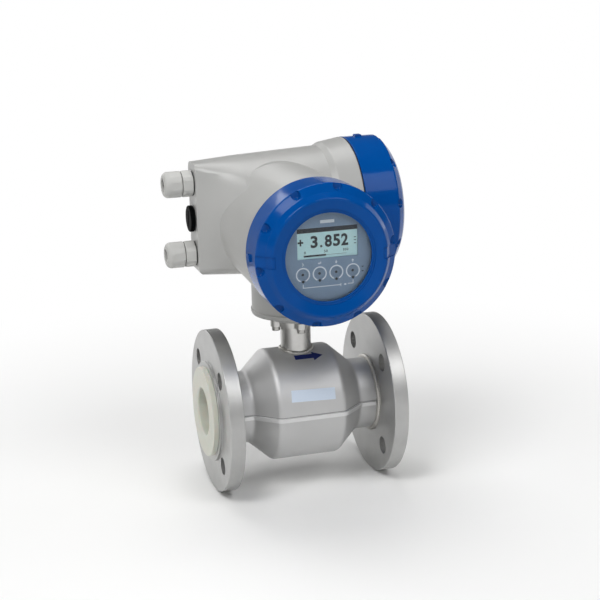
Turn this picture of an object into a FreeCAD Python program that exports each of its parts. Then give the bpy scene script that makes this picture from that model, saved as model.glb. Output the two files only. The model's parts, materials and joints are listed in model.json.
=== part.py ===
import FreeCAD, Part
import math
import os

# Electromagnetic flow meter, DN 50, with its signal converter on a short neck.
# Millimetres. X runs along the pipe in the flow direction, Z is up, and the display faces -Y.
# The origin is on the pipe axis, half-way between the two sealing faces.

X = FreeCAD.Vector(1, 0, 0)
Y = FreeCAD.Vector(0, 1, 0)
Z = FreeCAD.Vector(0, 0, 1)
ORIGIN = FreeCAD.Vector(0, 0, 0)

# ---- fits -------------------------------------------------------------------------------
bonded_gap = 0.05          # between pieces that are welded, bonded or clamped together
slip_gap = 0.3             # between a piece that moves and what it moves in or on
hole_gap = 0.3             # round a screw in a plain hole

# ---- measuring tube, liner and flanges --------------------------------------------------
face_to_face = 200.0       # between the two sealing faces of the liner
bore_r = 24.0
tube_in_r = 28.2
tube_wall = 2.0
flange_r = 82.5
flange_t = 15.0
flange_edge_round = 1.0
raised_r = 51.0
raised_t = 3.0
flare_r = 45.5
flare_t = 5.0
bore_mouth_round = 2.0
bolt_circle = 125.0
bolt_hole_r = 9.0
bolt_count = 4
weld_leg = 3.4

# ---- coil housing: two pressed half shells ----------------------------------------------
barrel_r = 57.0
barrel_half = 33.5         # half the length of the cylindrical middle
shoulder_half = 56.0       # where the cone meets the end neck
end_neck_r = 36.5
shell_wall = 2.0
barrel_round = 8.0
shoulder_round = 6.0
lip_out = 2.6
lip_t = 1.9
lip_stop = 1.0             # the lips end this far before the flange weld

# ---- field coils, pole shoes, return yoke and electrodes --------------------------------
shoe_gap = 0.3
shoe_t = 3.0
shoe_half_angle = 52.0
shoe_half_length = 27.0
core_r = 9.0
coil_out_r = 23.5
coil_low = 35.0            # height of the coil's lower face above the pipe axis
coil_drop = 6.7            # from the yoke's inside down to the coil's upper face
yoke_t = 2.4
yoke_clear = 1.4           # between the yoke and the shells round it
yoke_half_width = 14.0
electrode_head_r = 4.0
electrode_head_t = 1.6
electrode_stem_r = 1.5
electrode_reach = 43.0     # outer end of the electrode's stem, from the pipe axis
bush_r = 4.6
bush_end = 34.5            # outer face of the insulating bush, from the pipe axis
nut_flats = 5.5
nut_t = 2.4
spring_t = 1.6

# ---- neck -------------------------------------------------------------------------------
neck_r = 15.5
neck_wall = 2.0
neck_top = 82.0            # underside of the neck flange
neck_weld = 2.2
neck_flange_t = 6.0
neck_flange_r = 19.0
lobe_place_r = 20.5
lobe_r = 5.5
lobe_count = 4
lobe_blend = 3.0
neck_gasket_t = 1.0
neck_screw_r = 2.5
neck_screw_head_r = 4.25
neck_screw_head_t = 4.6
neck_screw_socket = 4.0    # across the flats of the hexagon socket
neck_screw_grip = 9.0      # length of thread in the converter's foot

# ---- converter housing: one aluminium casting -------------------------------------------
barrel_z = 200.0           # height of the horizontal barrel's axis
entry_face_x = -101.0
entry_face_half_w = 15.0
entry_face_half_h = 55.2
entry_face_round = 8.0
entry_corner_round = 9.0   # lower edge of the entry face
wedge_end_x = -58.0        # where the wedge has become a full circle
wedge_end_r = 58.8
barrel_end_x = 20.0
barrel_end_r = 62.3
collar_start_x = 26.0
collar_root_x = 32.0
collar_root_r = 65.7
collar_proud = 0.1         # the collar is this much larger than the cover on it
cast_wall = 5.0
cover_r = 69.2             # both screw covers
collar_face_x = 54.0       # seat of the terminal cover
drum_drop = 23.0           # the display drum's axis lies this far below the barrel's
drum_face_y = -73.5        # seat of the display cover
drum_r = 65.5
drum_edge_inset = 1.0      # the drum's rim is this much smaller than the cover on it
cheek_x = -21.0            # centre of the round cheek that the drum grows out of
cheek_drop = 6.5
cheek_r = 61.5
cheek_y = -35.0
cover_skirt = 5.4          # wall of a cover where it screws on its spigot
spigot_length = 20.0
spigot_wall = 5.5
spigot_root_wall = 4.0     # least wall behind the spigot where the cable space runs out into it
cover_clear = 2.0          # free space round a cover's skirt
drum_bore_r = 49.5
mouth_step = 2.0           # the wide mouth of the drum starts this far outside its seat
partition_y = 9.0          # front face of the wall between the two compartments
partition_t = 4.0
pedestal_r = 43.5
pedestal_low = 96.0
pedestal_lip = 1.0
pedestal_lip_h = 5.0
pedestal_round = 3.0
pedestal_blend = 12.0
foot_r = 27.0
foot_round = 2.0
carrier_seat_x = 64.0      # ledge that the terminal carrier rests on
post_r = 5.0
post_places = ((-40.0, -10.0), (-4.0, -40.0))    # y, and height above the barrel's axis
duct_r = 7.0

# ---- screw covers -----------------------------------------------------------------------
seal_t = 1.2               # visible thickness of the compressed seal ring
seal_inset = 0.8
cover_side = 34.5          # height of the straight side wall above the seat
bevel_run = 7.7            # from the side wall in to the inner edge of the bevel
bevel_h = 41.0
crown_run = 5.0            # from there in to the flat crown
crown_h = 47.5
crown_w = 14.0
window_rim_h = 43.5
window_rim_t = 2.0
rim_step = 0.7
rim_steps = 2
rim_step_pitch = 1.7
glass_lap = 4.1            # the glass reaches this far behind the window's edge
glass_t = 4.0
ring_t = 1.2
ring_lap = 0.6
ring_w = 2.4
ring_lip = 1.2
glass_seat_wall = 2.6
cover_wall = 4.6
end_h = 44.0
end_wall = 5.0
end_recess = 1.6
notch_count = 10
notch_r = 4.6
notch_inset = 2.2
notch_floor = 33.4
notch_turn = 8.0
slot_w = 11.5
slot_run = 3.5             # how far the spanner slots reach into the crown
slot_depth = 1.6
lug_w = 6.5
lug_out = 2.0
lug_h = 7.0
lug_low = 12.0

# ---- display and electronics ------------------------------------------------------------
panel_lap = 2.8            # the panel reaches this far behind the window's edge
panel_clear = 0.8          # between the panel and the glass
panel_t = 1.6
panel_skirt_wall = 2.0
lcd_w = 59.5
lcd_tall = 29.5
lcd_x = 0.6
lcd_z = 13.2               # centre of the display window above the drum's axis
lcd_module_t = 5.0
lcd_margin = 1.6           # what the window frame covers of the display on each side
key_count = 4
key_pitch = 16.4
key_x = 0.4
key_z = -16.0
key_r = 5.4
key_sunk = 0.6
key_lens_r = 4.6
key_lens_t = 1.2
insert_play = 0.8          # round the insert in the drum's bore
insert_wall = 2.5
insert_front_h = 18.0      # front edge of the insert above the drum's seat
insert_hole_r = 30.0
insert_gap = 0.5
board_t = 1.6
board_gap = 1.0
signal_board_h = -30.0
power_board_h = -60.0
transformer_tall = 18.0

# ---- terminal compartment ---------------------------------------------------------------
carrier_t = 3.0
carrier_cut_y = 20.0       # the carrier is open behind this plane, for the cables
strip_count = 3
strip_pitch = 25.0
strip_w = 11.0
strip_tall = 21.0
strip_t = 11.0
strip_y = -14.0
strip_screws = 4
strip_screw_r = 1.7
carrier_screw_r = 2.0

# ---- cable entries ----------------------------------------------------------------------
entry_pitch = 35.0
entry_thread_r = 10.0
gland_shank_gap = 0.1
gland_seal_t = 1.2
gland_hex = 24.0           # across the flats of the gland body
gland_hex_t = 10.0
gland_neck_r = 9.4
gland_bore_r = 7.0
nut_gap = 0.7
nut_r = 12.8
nut_length = 17.6
nut_thread_depth = 10.5
nut_nose_round = 5.0
nut_mouth_r = 6.6
nut_facets = 6
nut_facet_flats = 24.6
nut_grip = 11.0            # length of the faceted part
gland_insert_bore_r = 5.0
plug_r = 13.0
plug_t = 4.0
plug_slot = 3.0
plug_slot_depth = 1.6

# ---- sizes that follow from the ones above -----------------------------------------------
half = face_to_face / 2.0
raised_x = half - flare_t
flange_x = raised_x - raised_t - flange_t
tube_r = tube_in_r + tube_wall
yoke_in_r = barrel_r - shell_wall - yoke_clear - yoke_t
coil_top = yoke_in_r - coil_drop
drum_z = barrel_z - drum_drop
cheek_z = barrel_z - cheek_drop
drum_edge_r = cover_r - drum_edge_inset
collar_r = cover_r + collar_proud
spigot_r = cover_r - cover_skirt - slip_gap
spigot_bore_r = spigot_r - spigot_wall
bevel_r = cover_r - bevel_run
crown_r = bevel_r - crown_run
window_r = crown_r - crown_w
glass_r = window_r + glass_lap
ring_in_r = glass_r - ring_lap
ring_out_r = ring_in_r + ring_w
panel_r = window_r + panel_lap
panel_h = window_rim_h - window_rim_t - glass_t - panel_clear    # its front, above the drum's seat
insert_r = drum_bore_r - insert_play


# ---- helpers ----------------------------------------------------------------------------

def rounded_wire(corners, origin, axis, out):
    """Closed wire through (r, h, corner radius): h runs along axis, r along out."""
    places = [origin + out * r + axis * h for r, h, _ in corners]
    edges = []
    first = None
    last = None
    for i, here in enumerate(places):
        before = places[i - 1]
        after = places[(i + 1) % len(places)]
        radius = corners[i][2]
        start = end = here
        arc = None
        if radius > 0:
            back = (before - here).normalize()
            ahead = (after - here).normalize()
            half_angle = back.getAngle(ahead) / 2.0
            run = radius / math.tan(half_angle)
            start = here + back * run
            end = here + ahead * run
            middle = here + (back + ahead).normalize() * (radius / math.sin(half_angle) - radius)
            arc = Part.Arc(start, middle, end).toShape()
        if last is not None and last.distanceToPoint(start) > 1e-6:
            edges.append(Part.makeLine(last, start))
        if arc is not None:
            edges.append(arc)
        if first is None:
            first = start
        last = end
    if last.distanceToPoint(first) > 1e-6:
        edges.append(Part.makeLine(last, first))
    return Part.Wire(edges)


def turned(corners, origin=ORIGIN, axis=X, out=Z, sweep=360):
    """Solid of revolution of a rounded section about the axis through origin."""
    section = Part.Face(rounded_wire(corners, origin, axis, out))
    return section.revolve(origin, axis, sweep)


def cylinder(r, start, end, origin=ORIGIN, axis=X):
    return Part.makeCylinder(r, end - start, origin + axis * start, axis)


def ring(r_in, r_out, start, end, origin=ORIGIN, axis=X):
    return cylinder(r_out, start, end, origin, axis).cut(cylinder(r_in, start, end, origin, axis))


def prism(flats, sides, start, end, origin, axis, out):
    """Regular prism with the given distance across its flats, one corner along out."""
    corner_r = flats / 2.0 / math.cos(math.pi / sides)
    across = axis.cross(out)
    points = []
    for k in range(sides + 1):
        angle = 2.0 * math.pi * k / sides
        spoke = out * math.cos(angle) + across * math.sin(angle)
        points.append(origin + axis * start + spoke * corner_r)
    return Part.Face(Part.makePolygon(points)).extrude(axis * (end - start))


def around(shape, count, origin, axis, first_angle=0.0):
    """Copies of a shape, evenly spaced about an axis."""
    copies = []
    for k in range(count):
        copy = shape.copy()
        copy.rotate(origin, axis, first_angle + 360.0 * k / count)
        copies.append(copy)
    return copies


def fused(shapes):
    return shapes[0].fuse(list(shapes[1:])).removeSplitter()


def box(low, high):
    size = [b - a for a, b in zip(low, high)]
    return Part.makeBox(size[0], size[1], size[2], FreeCAD.Vector(*low))


# ---- flow sensor ------------------------------------------------------------------------

def electrode_axes():
    """The two electrodes lie on the Y axis; each entry is the outward direction."""
    return {"front": Y * -1, "rear": Y}


def measuring_tube():
    tube = ring(tube_in_r, tube_r, -raised_x, raised_x)
    for out in electrode_axes().values():
        tube = tube.cut(cylinder(bush_r + bonded_gap, tube_in_r - 2, tube_r + 2, ORIGIN, out))
    return tube


def liner():
    skin_r = tube_in_r - bonded_gap
    body = turned([
        (bore_r, -half, bore_mouth_round), (flare_r, -half, 0.8), (flare_r, -raised_x, 0),
        (skin_r, -raised_x, 0), (skin_r, raised_x, 0), (flare_r, raised_x, 0),
        (flare_r, half, 0.8), (bore_r, half, bore_mouth_round)])
    for out in electrode_axes().values():
        head_back = bore_r + electrode_head_t + bonded_gap
        body = body.cut(cylinder(electrode_head_r + bonded_gap, bore_r - 3, head_back, ORIGIN, out))
        body = body.cut(cylinder(electrode_stem_r + bonded_gap, bore_r, tube_r, ORIGIN, out))
    return body


def flange(side):
    """Flat flange with a raised face; side is +1 at the outlet and -1 at the inlet."""
    axis = X * side
    hole_r = tube_r + bonded_gap
    weld_in_r = end_neck_r + bonded_gap
    plate = turned([
        (hole_r, flange_x, 0), (flange_r, flange_x, flange_edge_round),
        (flange_r, raised_x - raised_t, flange_edge_round), (raised_r, raised_x - raised_t, 0.5),
        (raised_r, raised_x, 0.5), (hole_r, raised_x, 0)], ORIGIN, axis)
    weld = turned([
        (weld_in_r, flange_x, 0), (weld_in_r + weld_leg, flange_x, 0),
        (weld_in_r, flange_x - weld_leg, 0)], ORIGIN, axis)
    hole = cylinder(bolt_hole_r, flange_x - 1, raised_x, Y * (bolt_circle / 2.0), axis)
    holes = around(hole, bolt_count, ORIGIN, X, 180.0 / bolt_count)
    return plate.fuse(weld).cut(holes).removeSplitter()


def shell_side(offset, end_x):
    """Half of the coil housing's side line, moved outwards by offset."""
    slope = math.atan2(barrel_r - end_neck_r, shoulder_half - barrel_half)
    shift = offset * math.tan(slope / 2.0)
    left = [
        (end_neck_r + offset, -end_x, 0),
        (end_neck_r + offset, -shoulder_half - shift, shoulder_round - offset),
        (barrel_r + offset, -barrel_half - shift, barrel_round + offset)]
    right = [(r, -h, c) for r, h, c in reversed(left)]
    return left + right


def half_shell(side):
    """One pressed half of the coil housing; side is +1 above the seam and -1 below it."""
    outer = shell_side(0.0, flange_x)
    inner = shell_side(-shell_wall, flange_x)
    shell = turned(outer + inner[::-1], ORIGIN, X, Y * side, 180)
    lip_end = flange_x - weld_leg - lip_stop
    lip_line = shell_side(lip_out, lip_end) + shell_side(-shell_wall / 2.0, lip_end)[::-1]
    lips = []
    for hand in (Y, Y * -1):
        lip = Part.Face(rounded_wire(lip_line, ORIGIN, X, hand)).extrude(Z * (side * lip_t))
        lips.append(lip)
    shell = fused([shell] + lips)
    if side > 0:
        shell = shell.cut(cylinder(neck_r + bonded_gap, barrel_r - 8, barrel_r + 5, ORIGIN, Z))
    return shell


def pole_shoe(side):
    """Saddle on the tube with the coil's round core, reaching the return yoke."""
    up = Z * side
    inner = tube_r + shoe_gap
    start = X.cross(up) * -1
    saddle = turned([
        (inner, -shoe_half_length, 0), (inner + shoe_t, -shoe_half_length, 0.8),
        (inner + shoe_t, shoe_half_length, 0.8), (inner, shoe_half_length, 0)],
        ORIGIN, X, start, 2.0 * shoe_half_angle)
    saddle.rotate(ORIGIN, X, 90.0 - shoe_half_angle)
    core = cylinder(core_r, inner + shoe_t / 2.0, yoke_in_r, ORIGIN, up)
    core = core.common(cylinder(yoke_in_r - bonded_gap, -core_r - 1, core_r + 1))
    return fused([saddle, core])


def field_coil(side):
    up = Z * side
    inner = core_r + bonded_gap
    return turned([
        (inner, coil_low, 0), (coil_out_r, coil_low, 1.5), (coil_out_r, coil_top, 1.5),
        (inner, coil_top, 0)], ORIGIN, up, X)


def return_yoke():
    band = ring(yoke_in_r, yoke_in_r + yoke_t, -yoke_half_width, yoke_half_width)
    return band


def electrode(out):
    head = cylinder(electrode_head_r, bore_r + bonded_gap, bore_r + electrode_head_t, ORIGIN, out)
    head = head.cut(cylinder(bore_r + bonded_gap, -half / 4, half / 4))
    stem = cylinder(electrode_stem_r, bore_r + electrode_head_t / 2.0, electrode_reach, ORIGIN, out)
    return fused([head, stem])


def electrode_bushes():
    bushes = []
    for out in electrode_axes().values():
        hole_r = electrode_stem_r + bonded_gap
        bush = turned([
            (hole_r, tube_in_r, 0), (bush_r, tube_in_r, 0), (bush_r, tube_r + bonded_gap, 0),
            (bush_r + 1.6, tube_r + bonded_gap, 0), (bush_r + 1.6, bush_end, 0.6),
            (hole_r, bush_end, 0)], ORIGIN, out, X)
        bush = bush.cut(cylinder(tube_in_r, -half / 4, half / 4))
        bush = bush.cut(ring(tube_in_r - 2, tube_r + bonded_gap, -half / 4, half / 4).cut(
            cylinder(bush_r, tube_in_r - 3, tube_r + 3, ORIGIN, out)))
        bushes.append(bush)
    return Part.makeCompound(bushes)


def electrode_springs():
    """Domed spring washers that keep each electrode pulled against the liner."""
    springs = []
    for out in electrode_axes().values():
        hole_r = electrode_stem_r + bonded_gap
        springs.append(turned([
            (hole_r, bush_end + spring_t - 0.7, 0), (bush_r, bush_end, 0),
            (bush_r, bush_end + 0.7, 0), (hole_r, bush_end + spring_t, 0)], ORIGIN, out, X))
    return Part.makeCompound(springs)


def electrode_nuts():
    nuts = []
    for out in electrode_axes().values():
        low = bush_end + spring_t
        nut = prism(nut_flats, 6, low, low + nut_t, ORIGIN, out, X)
        nuts.append(nut.cut(cylinder(electrode_stem_r + bonded_gap, low - 1, low + nut_t + 1, ORIGIN, out)))
    return Part.makeCompound(nuts)


# ---- neck -------------------------------------------------------------------------------

def lobe_screw_axis():
    return FreeCAD.Vector(lobe_place_r, 0, 0)


def lobed_plate(low, high):
    """Round plate with a rounded ear at each screw and a hole for the leads."""
    ears = around(cylinder(lobe_r, low, high, lobe_screw_axis(), Z), lobe_count, ORIGIN, Z)
    plate = fused([cylinder(neck_flange_r, low, high, ORIGIN, Z)] + ears)
    inner_edges = []
    for edge in plate.Edges:
        upright = len(edge.Vertexes) == 2 and abs(edge.BoundBox.ZLength - (high - low)) < 1e-6
        if upright and abs(edge.tangentAt(edge.FirstParameter).z) > 0.99:
            inner_edges.append(edge)
    plate = plate.makeFillet(lobe_blend, inner_edges)
    hole = cylinder(neck_screw_r + hole_gap, low - 1, high + 1, lobe_screw_axis(), Z)
    return plate.cut(around(hole, lobe_count, ORIGIN, Z))


def neck_tube():
    foot_z = barrel_r - shell_wall - 1.0
    inner = neck_r - neck_wall
    tube = ring(inner, neck_r, foot_z, neck_top, ORIGIN, Z)
    bead = cylinder(neck_r + neck_weld, foot_z, barrel_r + neck_weld, ORIGIN, Z)
    bead = bead.common(cylinder(barrel_r + neck_weld * 0.6, -neck_r * 2, neck_r * 2))
    bead = bead.cut([
        cylinder(barrel_r + bonded_gap, -neck_r * 2, neck_r * 2),
        cylinder(inner, foot_z - 1, neck_top, ORIGIN, Z)])
    return fused([tube, bead])


def neck_flange():
    plate = lobed_plate(neck_top, neck_top + neck_flange_t)
    return plate.cut(cylinder(neck_r - neck_wall, neck_top - 1, neck_top + neck_flange_t + 1, ORIGIN, Z))


def neck_gasket():
    low = neck_top + neck_flange_t
    return lobed_plate(low, low + neck_gasket_t).cut(
        cylinder(duct_r + 1.0, low - 1, low + neck_gasket_t + 1, ORIGIN, Z))


def neck_screws():
    top = neck_top + neck_flange_t + neck_gasket_t + neck_screw_grip
    place = lobe_screw_axis()
    head = turned([
        (0, neck_top - neck_screw_head_t, 0), (neck_screw_head_r, neck_top - neck_screw_head_t, 0.6),
        (neck_screw_head_r, neck_top, 0), (0, neck_top, 0)], place, Z, X)
    socket = prism(neck_screw_socket, 6, neck_top - neck_screw_head_t, neck_top - 2.0, place, Z, X)
    shank = cylinder(neck_screw_r, neck_top - 0.5, top, place, Z)
    screw = fused([head.cut(socket), shank])
    return Part.makeCompound(around(screw, lobe_count, ORIGIN, Z))


def lead_seal():
    """Potted plug that closes the top of the neck round the sensor's leads."""
    top = neck_top + neck_flange_t
    return cylinder(neck_r - neck_wall - bonded_gap, neck_top - 12.0, top, ORIGIN, Z)


# ---- converter housing ------------------------------------------------------------------

def cross_section(x, half_w, half_h, corner):
    """Upright rounded rectangle across the barrel, drawn in eight edges."""
    flat_w = half_w - corner
    flat_h = half_h - corner
    edges = []
    for k, (sy, sz) in enumerate(((1, 1), (-1, 1), (-1, -1), (1, -1))):
        centre = FreeCAD.Vector(x, sy * flat_w, barrel_z + sz * flat_h)
        start_out = Y * sy if k % 2 == 0 else Z * sz
        end_out = Z * sz if k % 2 == 0 else Y * sy
        middle = centre + (start_out + end_out).normalize() * corner
        end = centre + end_out * corner
        edges.append(Part.Arc(centre + start_out * corner, middle, end).toShape())
        side = Y * (sy * -2 * flat_w) if k % 2 == 0 else Z * (sz * -2 * flat_h)
        edges.append(Part.makeLine(end, end + side))
    return Part.Wire(edges)


def round_section(x, r, side_angle, top_angle):
    """Circle across the barrel in eight arcs that answer the edges of cross_section."""
    stops = []
    for quarter in range(4):
        low, high = (side_angle, top_angle) if quarter % 2 == 0 else (top_angle, side_angle)
        stops += [90.0 * quarter + low, 90.0 * quarter + 90.0 - high]
    edges = []
    for k, start in enumerate(stops):
        end = stops[(k + 1) % len(stops)]
        if end < start:
            end += 360.0
        angles = [math.radians(a) for a in (start, (start + end) / 2.0, end)]
        points = [FreeCAD.Vector(x, r * math.cos(a), barrel_z + r * math.sin(a)) for a in angles]
        edges.append(Part.Arc(*points).toShape())
    return Part.Wire(edges)


def wedge_form(inset):
    """The tall narrow end with the cable entries, widening to the round barrel."""
    half_w = entry_face_half_w - inset
    half_h = entry_face_half_h - inset
    corner = entry_face_round - min(inset, entry_face_round / 2.0)
    r = wedge_end_r - inset
    side_angle = math.degrees(math.asin((half_h - corner) / r))
    top_angle = math.degrees(math.asin((half_w - corner) / r))
    return Part.makeLoft([
        cross_section(entry_face_x + inset, half_w, half_h, corner),
        round_section(wedge_end_x, r, side_angle, top_angle)], True, True)


def barrel_form(inset, end_x):
    """The slightly conical barrel from the wedge to end_x."""
    growth = (barrel_end_r - wedge_end_r) / (barrel_end_x - wedge_end_x)
    length = end_x - wedge_end_x
    start_r = wedge_end_r - inset
    return Part.makeCone(start_r, start_r + growth * length, length, BARREL + X * wedge_end_x, X)


def pedestal_on_barrel():
    """The barrel standing on its round pedestal, blended where they meet."""
    pedestal = cylinder(pedestal_r, pedestal_low, barrel_z - pedestal_r / 2.0, ORIGIN, Z)
    joined = barrel_form(0.0, collar_face_x - 1.0).fuse(pedestal)
    meeting = []
    for edge in joined.Edges:
        middle = edge.valueAt((edge.FirstParameter + edge.LastParameter) / 2.0)
        on_pedestal = abs(math.hypot(middle.x, middle.y) - pedestal_r) < 0.01
        if on_pedestal and edge.BoundBox.ZMin > pedestal_low + 1 and edge.BoundBox.ZLength > 1:
            meeting.append(edge)
    blended = joined.makeFillet(pedestal_blend, meeting)
    lip = turned([
        (0, pedestal_low, 0), (pedestal_r + pedestal_lip, pedestal_low, pedestal_round),
        (pedestal_r + pedestal_lip, pedestal_low + pedestal_lip_h, 0.8),
        (0, pedestal_low + pedestal_lip_h, 0)], ORIGIN, Z, X)
    return fused([blended, lip])


def drum_form():
    """The display drum: it grows out of a round cheek up and to the left, and leans to its own axis."""
    cheek_place = FreeCAD.Vector(cheek_x, 0, cheek_z)
    cheek = cylinder(cheek_r, 0, -cheek_y, cheek_place, Y * -1)
    rings = [
        Part.Wire(Part.makeCircle(cheek_r, cheek_place + Y * cheek_y, Y * -1)),
        Part.Wire(Part.makeCircle(drum_edge_r, DRUM, Y * -1))]
    lean = Part.makeLoft(rings, True, True)
    drum = cylinder(drum_r, 0, partition_y + partition_t - drum_face_y, DRUM, Y)
    return fused([cheek, lean, drum])


def collar_form():
    return turned([
        (0, barrel_end_x, 0), (barrel_end_r, barrel_end_x, 0), (barrel_end_r, collar_start_x, 3),
        (collar_root_r, collar_root_x, 3), (collar_r, collar_face_x, 0.8),
        (0, collar_face_x, 0)], BARREL, X, Z)


def spigot(origin, axis):
    """Threaded spigot that a cover screws on."""
    return turned([
        (0, -1, 0), (spigot_r, -1, 0), (spigot_r, spigot_length, 1.0), (0, spigot_length, 0)],
        origin, axis, Z)


def terminal_space():
    """Room for the terminals and the cables, round the back of the electronics."""
    tunnel = barrel_form(cast_wall, carrier_seat_x).common(
        cylinder(spigot_r - spigot_root_wall, wedge_end_x, carrier_seat_x, BARREL, X))
    space = fused([wedge_form(cast_wall), tunnel])
    mouth = cylinder(spigot_bore_r, carrier_seat_x, collar_face_x + spigot_length, BARREL, X)
    core = cylinder(pedestal_r - cast_wall, pedestal_low + cast_wall, barrel_z, ORIGIN, Z)
    core = core.common(box((-200, partition_y + partition_t, 0), (200, 200, barrel_z)))
    back_wall_y = partition_y + partition_t
    electronics = cylinder(drum_bore_r + cast_wall, 0, back_wall_y - drum_face_y, DRUM, Y)
    posts = [cylinder(post_r, 0, carrier_seat_x, place, X) for place in carrier_posts()]
    return fused([space, core]).cut([electronics] + posts).fuse(mouth)


def electronics_space():
    bore = cylinder(drum_bore_r, 0, partition_y - drum_face_y, DRUM, Y)
    mouth = cylinder(spigot_bore_r, mouth_step, spigot_length, DRUM, Y * -1)
    neck = cylinder(drum_bore_r, 0, mouth_step, DRUM, Y * -1)
    core = cylinder(pedestal_r - cast_wall, pedestal_low + cast_wall, drum_z, ORIGIN, Z)
    core = core.common(box((-200, -200, 0), (200, partition_y, drum_z)))
    return fused([bore, neck, mouth, core])


def carrier_posts():
    """Centres of the posts that carry the terminal carrier, on the electronics wall."""
    return [FreeCAD.Vector(0, y, barrel_z + up) for y, up in post_places]


def entry_places():
    return {
        "upper": FreeCAD.Vector(entry_face_x, 0, barrel_z + entry_pitch),
        "middle": FreeCAD.Vector(entry_face_x, 0, barrel_z),
        "lower": FreeCAD.Vector(entry_face_x, 0, barrel_z - entry_pitch)}


def converter_foot():
    foot_low = neck_top + neck_flange_t + neck_gasket_t
    foot = turned([
        (0, foot_low, 0), (foot_r, foot_low, foot_round), (foot_r, pedestal_low + 1, 0),
        (0, pedestal_low + 1, 0)], ORIGIN, Z, X)
    screw_holes = around(
        cylinder(neck_screw_r + bonded_gap, foot_low - 1, foot_low + neck_screw_grip + 1,
                 lobe_screw_axis(), Z), lobe_count, ORIGIN, Z)
    return foot, screw_holes


def converter_housing():
    foot, screw_holes = converter_foot()
    rounding = corner_rounding()
    body = fused([
        wedge_form(0.0).cut(rounding), pedestal_on_barrel(), drum_form(), collar_form(), foot])
    body = body.cut(ring(spigot_r, cover_r + cover_clear, 0, 2 * cover_r, TERMINAL_SEAT, X))
    body = fused([body, spigot(TERMINAL_SEAT, X), spigot(DRUM, Y * -1)])
    body = body.cut(terminal_space())
    body = body.cut(electronics_space())
    duct = cylinder(duct_r, 0, pedestal_low + cast_wall + 1, ORIGIN, Z)
    entries = [cylinder(entry_thread_r, -1, cast_wall + 4, place, X) for place in entry_places().values()]
    screws = [cylinder(carrier_screw_r + bonded_gap, carrier_seat_x - 9, carrier_seat_x, place, X)
              for place in carrier_posts()]
    return body.cut([duct] + entries + screw_holes + screws).removeSplitter()


def corner_rounding():
    """What is taken off the lower edge of the cable entry face to round it."""
    r = entry_corner_round
    fall = (wedge_end_r - entry_face_half_h) * r / (wedge_end_x - entry_face_x)
    roll_z = barrel_z - entry_face_half_h - fall + r
    block = box((entry_face_x - 1, -60, roll_z - r - 2), (entry_face_x + r, 60, roll_z))
    roll = cylinder(r, -61, 61, FreeCAD.Vector(entry_face_x + r, 0, roll_z), Y)
    return block.cut(roll)


# ---- screw covers -----------------------------------------------------------------------

def cover_outside():
    """Side wall and bevel that both covers share, from the seat upwards."""
    return [
        (spigot_r + slip_gap, seal_t + bonded_gap, 0), (cover_r, seal_t + bonded_gap, 0.5),
        (cover_r, cover_side, 3.0), (bevel_r, bevel_h, 2.0)]


def cover_details(cover, origin, axis, out):
    """Round notches and two spanner slots in the bevel, and a small lug on each side."""
    across = axis.cross(out)
    notch = turned([
        (0, notch_floor, 0), (notch_r, notch_floor, 1.8), (notch_r, crown_h, 0), (0, crown_h, 0)],
        origin + out * (cover_r - notch_inset), axis, out)
    notches = around(notch, notch_count, origin, axis, notch_turn)
    slot_r = crown_r - slot_run
    slot_line = [
        (slot_r, crown_h + 2), (slot_r, crown_h - slot_depth), (crown_r, crown_h - slot_depth),
        (bevel_r - slot_depth / 2.0, bevel_h - slot_depth / 2.0),
        (cover_r + 3, cover_side - 3.6), (cover_r + 3, crown_h + 2)]
    base = origin - across * (slot_w / 2.0)
    slot = Part.Face(rounded_wire([(r, h, 0) for r, h in slot_line], base, axis, out))
    slots = around(slot.extrude(across * slot_w), 2, origin, axis)
    lug_line = [
        (cover_r - 1, lug_low, 0), (cover_r + lug_out, lug_low, 0.8),
        (cover_r + lug_out, lug_low + lug_h, 0.8), (cover_r - 1, lug_low + lug_h, 0)]
    lug_base = origin - across * (lug_w / 2.0)
    lug = Part.Face(rounded_wire(lug_line, lug_base, axis, out)).extrude(across * lug_w)
    return fused([cover] + around(lug, 2, origin, axis)).cut(notches + slots)


def front_cover():
    seat_h = window_rim_h - window_rim_t
    glass_low = seat_h - glass_t
    ring_low = glass_low - ring_t - bonded_gap
    section = cover_outside() + [(crown_r, crown_h, 2.6)]
    step_h = window_rim_h + rim_step * rim_steps
    step_r = window_r + rim_step_pitch * rim_steps
    for k in range(rim_steps):
        section += [(step_r, step_h, 0), (step_r, step_h - rim_step, 0)]
        step_r -= rim_step_pitch
        step_h -= rim_step
    section += [
        (window_r, window_rim_h, 0.4), (window_r, seat_h, 0),
        (glass_r + bonded_gap, seat_h, 0), (glass_r + bonded_gap, glass_low, 0),
        (ring_out_r + bonded_gap, glass_low, 0), (ring_out_r + bonded_gap, ring_low, 0),
        (glass_r + bonded_gap, ring_low, 0), (glass_r + bonded_gap, ring_low - ring_lip, 0),
        (ring_out_r + glass_seat_wall, ring_low - ring_lip, 0.5),
        (ring_out_r + glass_seat_wall, seat_h, 1.0),
        (crown_r - 1, crown_h - cover_wall, 1.0), (bevel_r - cover_wall + 1, bevel_h - cover_wall - 2, 1.0),
        (spigot_r + slip_gap, spigot_length + 7, 0)]
    return cover_details(turned(section, DRUM, Y * -1, X), DRUM, Y * -1, X)


def terminal_cover():
    section = cover_outside() + [
        (crown_r, end_h, 1.5), (crown_r - 5, end_h, 1.0), (crown_r - 7, end_h - end_recess, 0.6),
        (0, end_h - end_recess, 0), (0, end_h - end_recess - end_wall, 0),
        (bevel_r - cover_wall, end_h - end_recess - end_wall, 2.0),
        (spigot_r + slip_gap, spigot_length + 7, 0)]
    return cover_details(turned(section, TERMINAL_SEAT, X, Z), TERMINAL_SEAT, X, Z)


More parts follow.
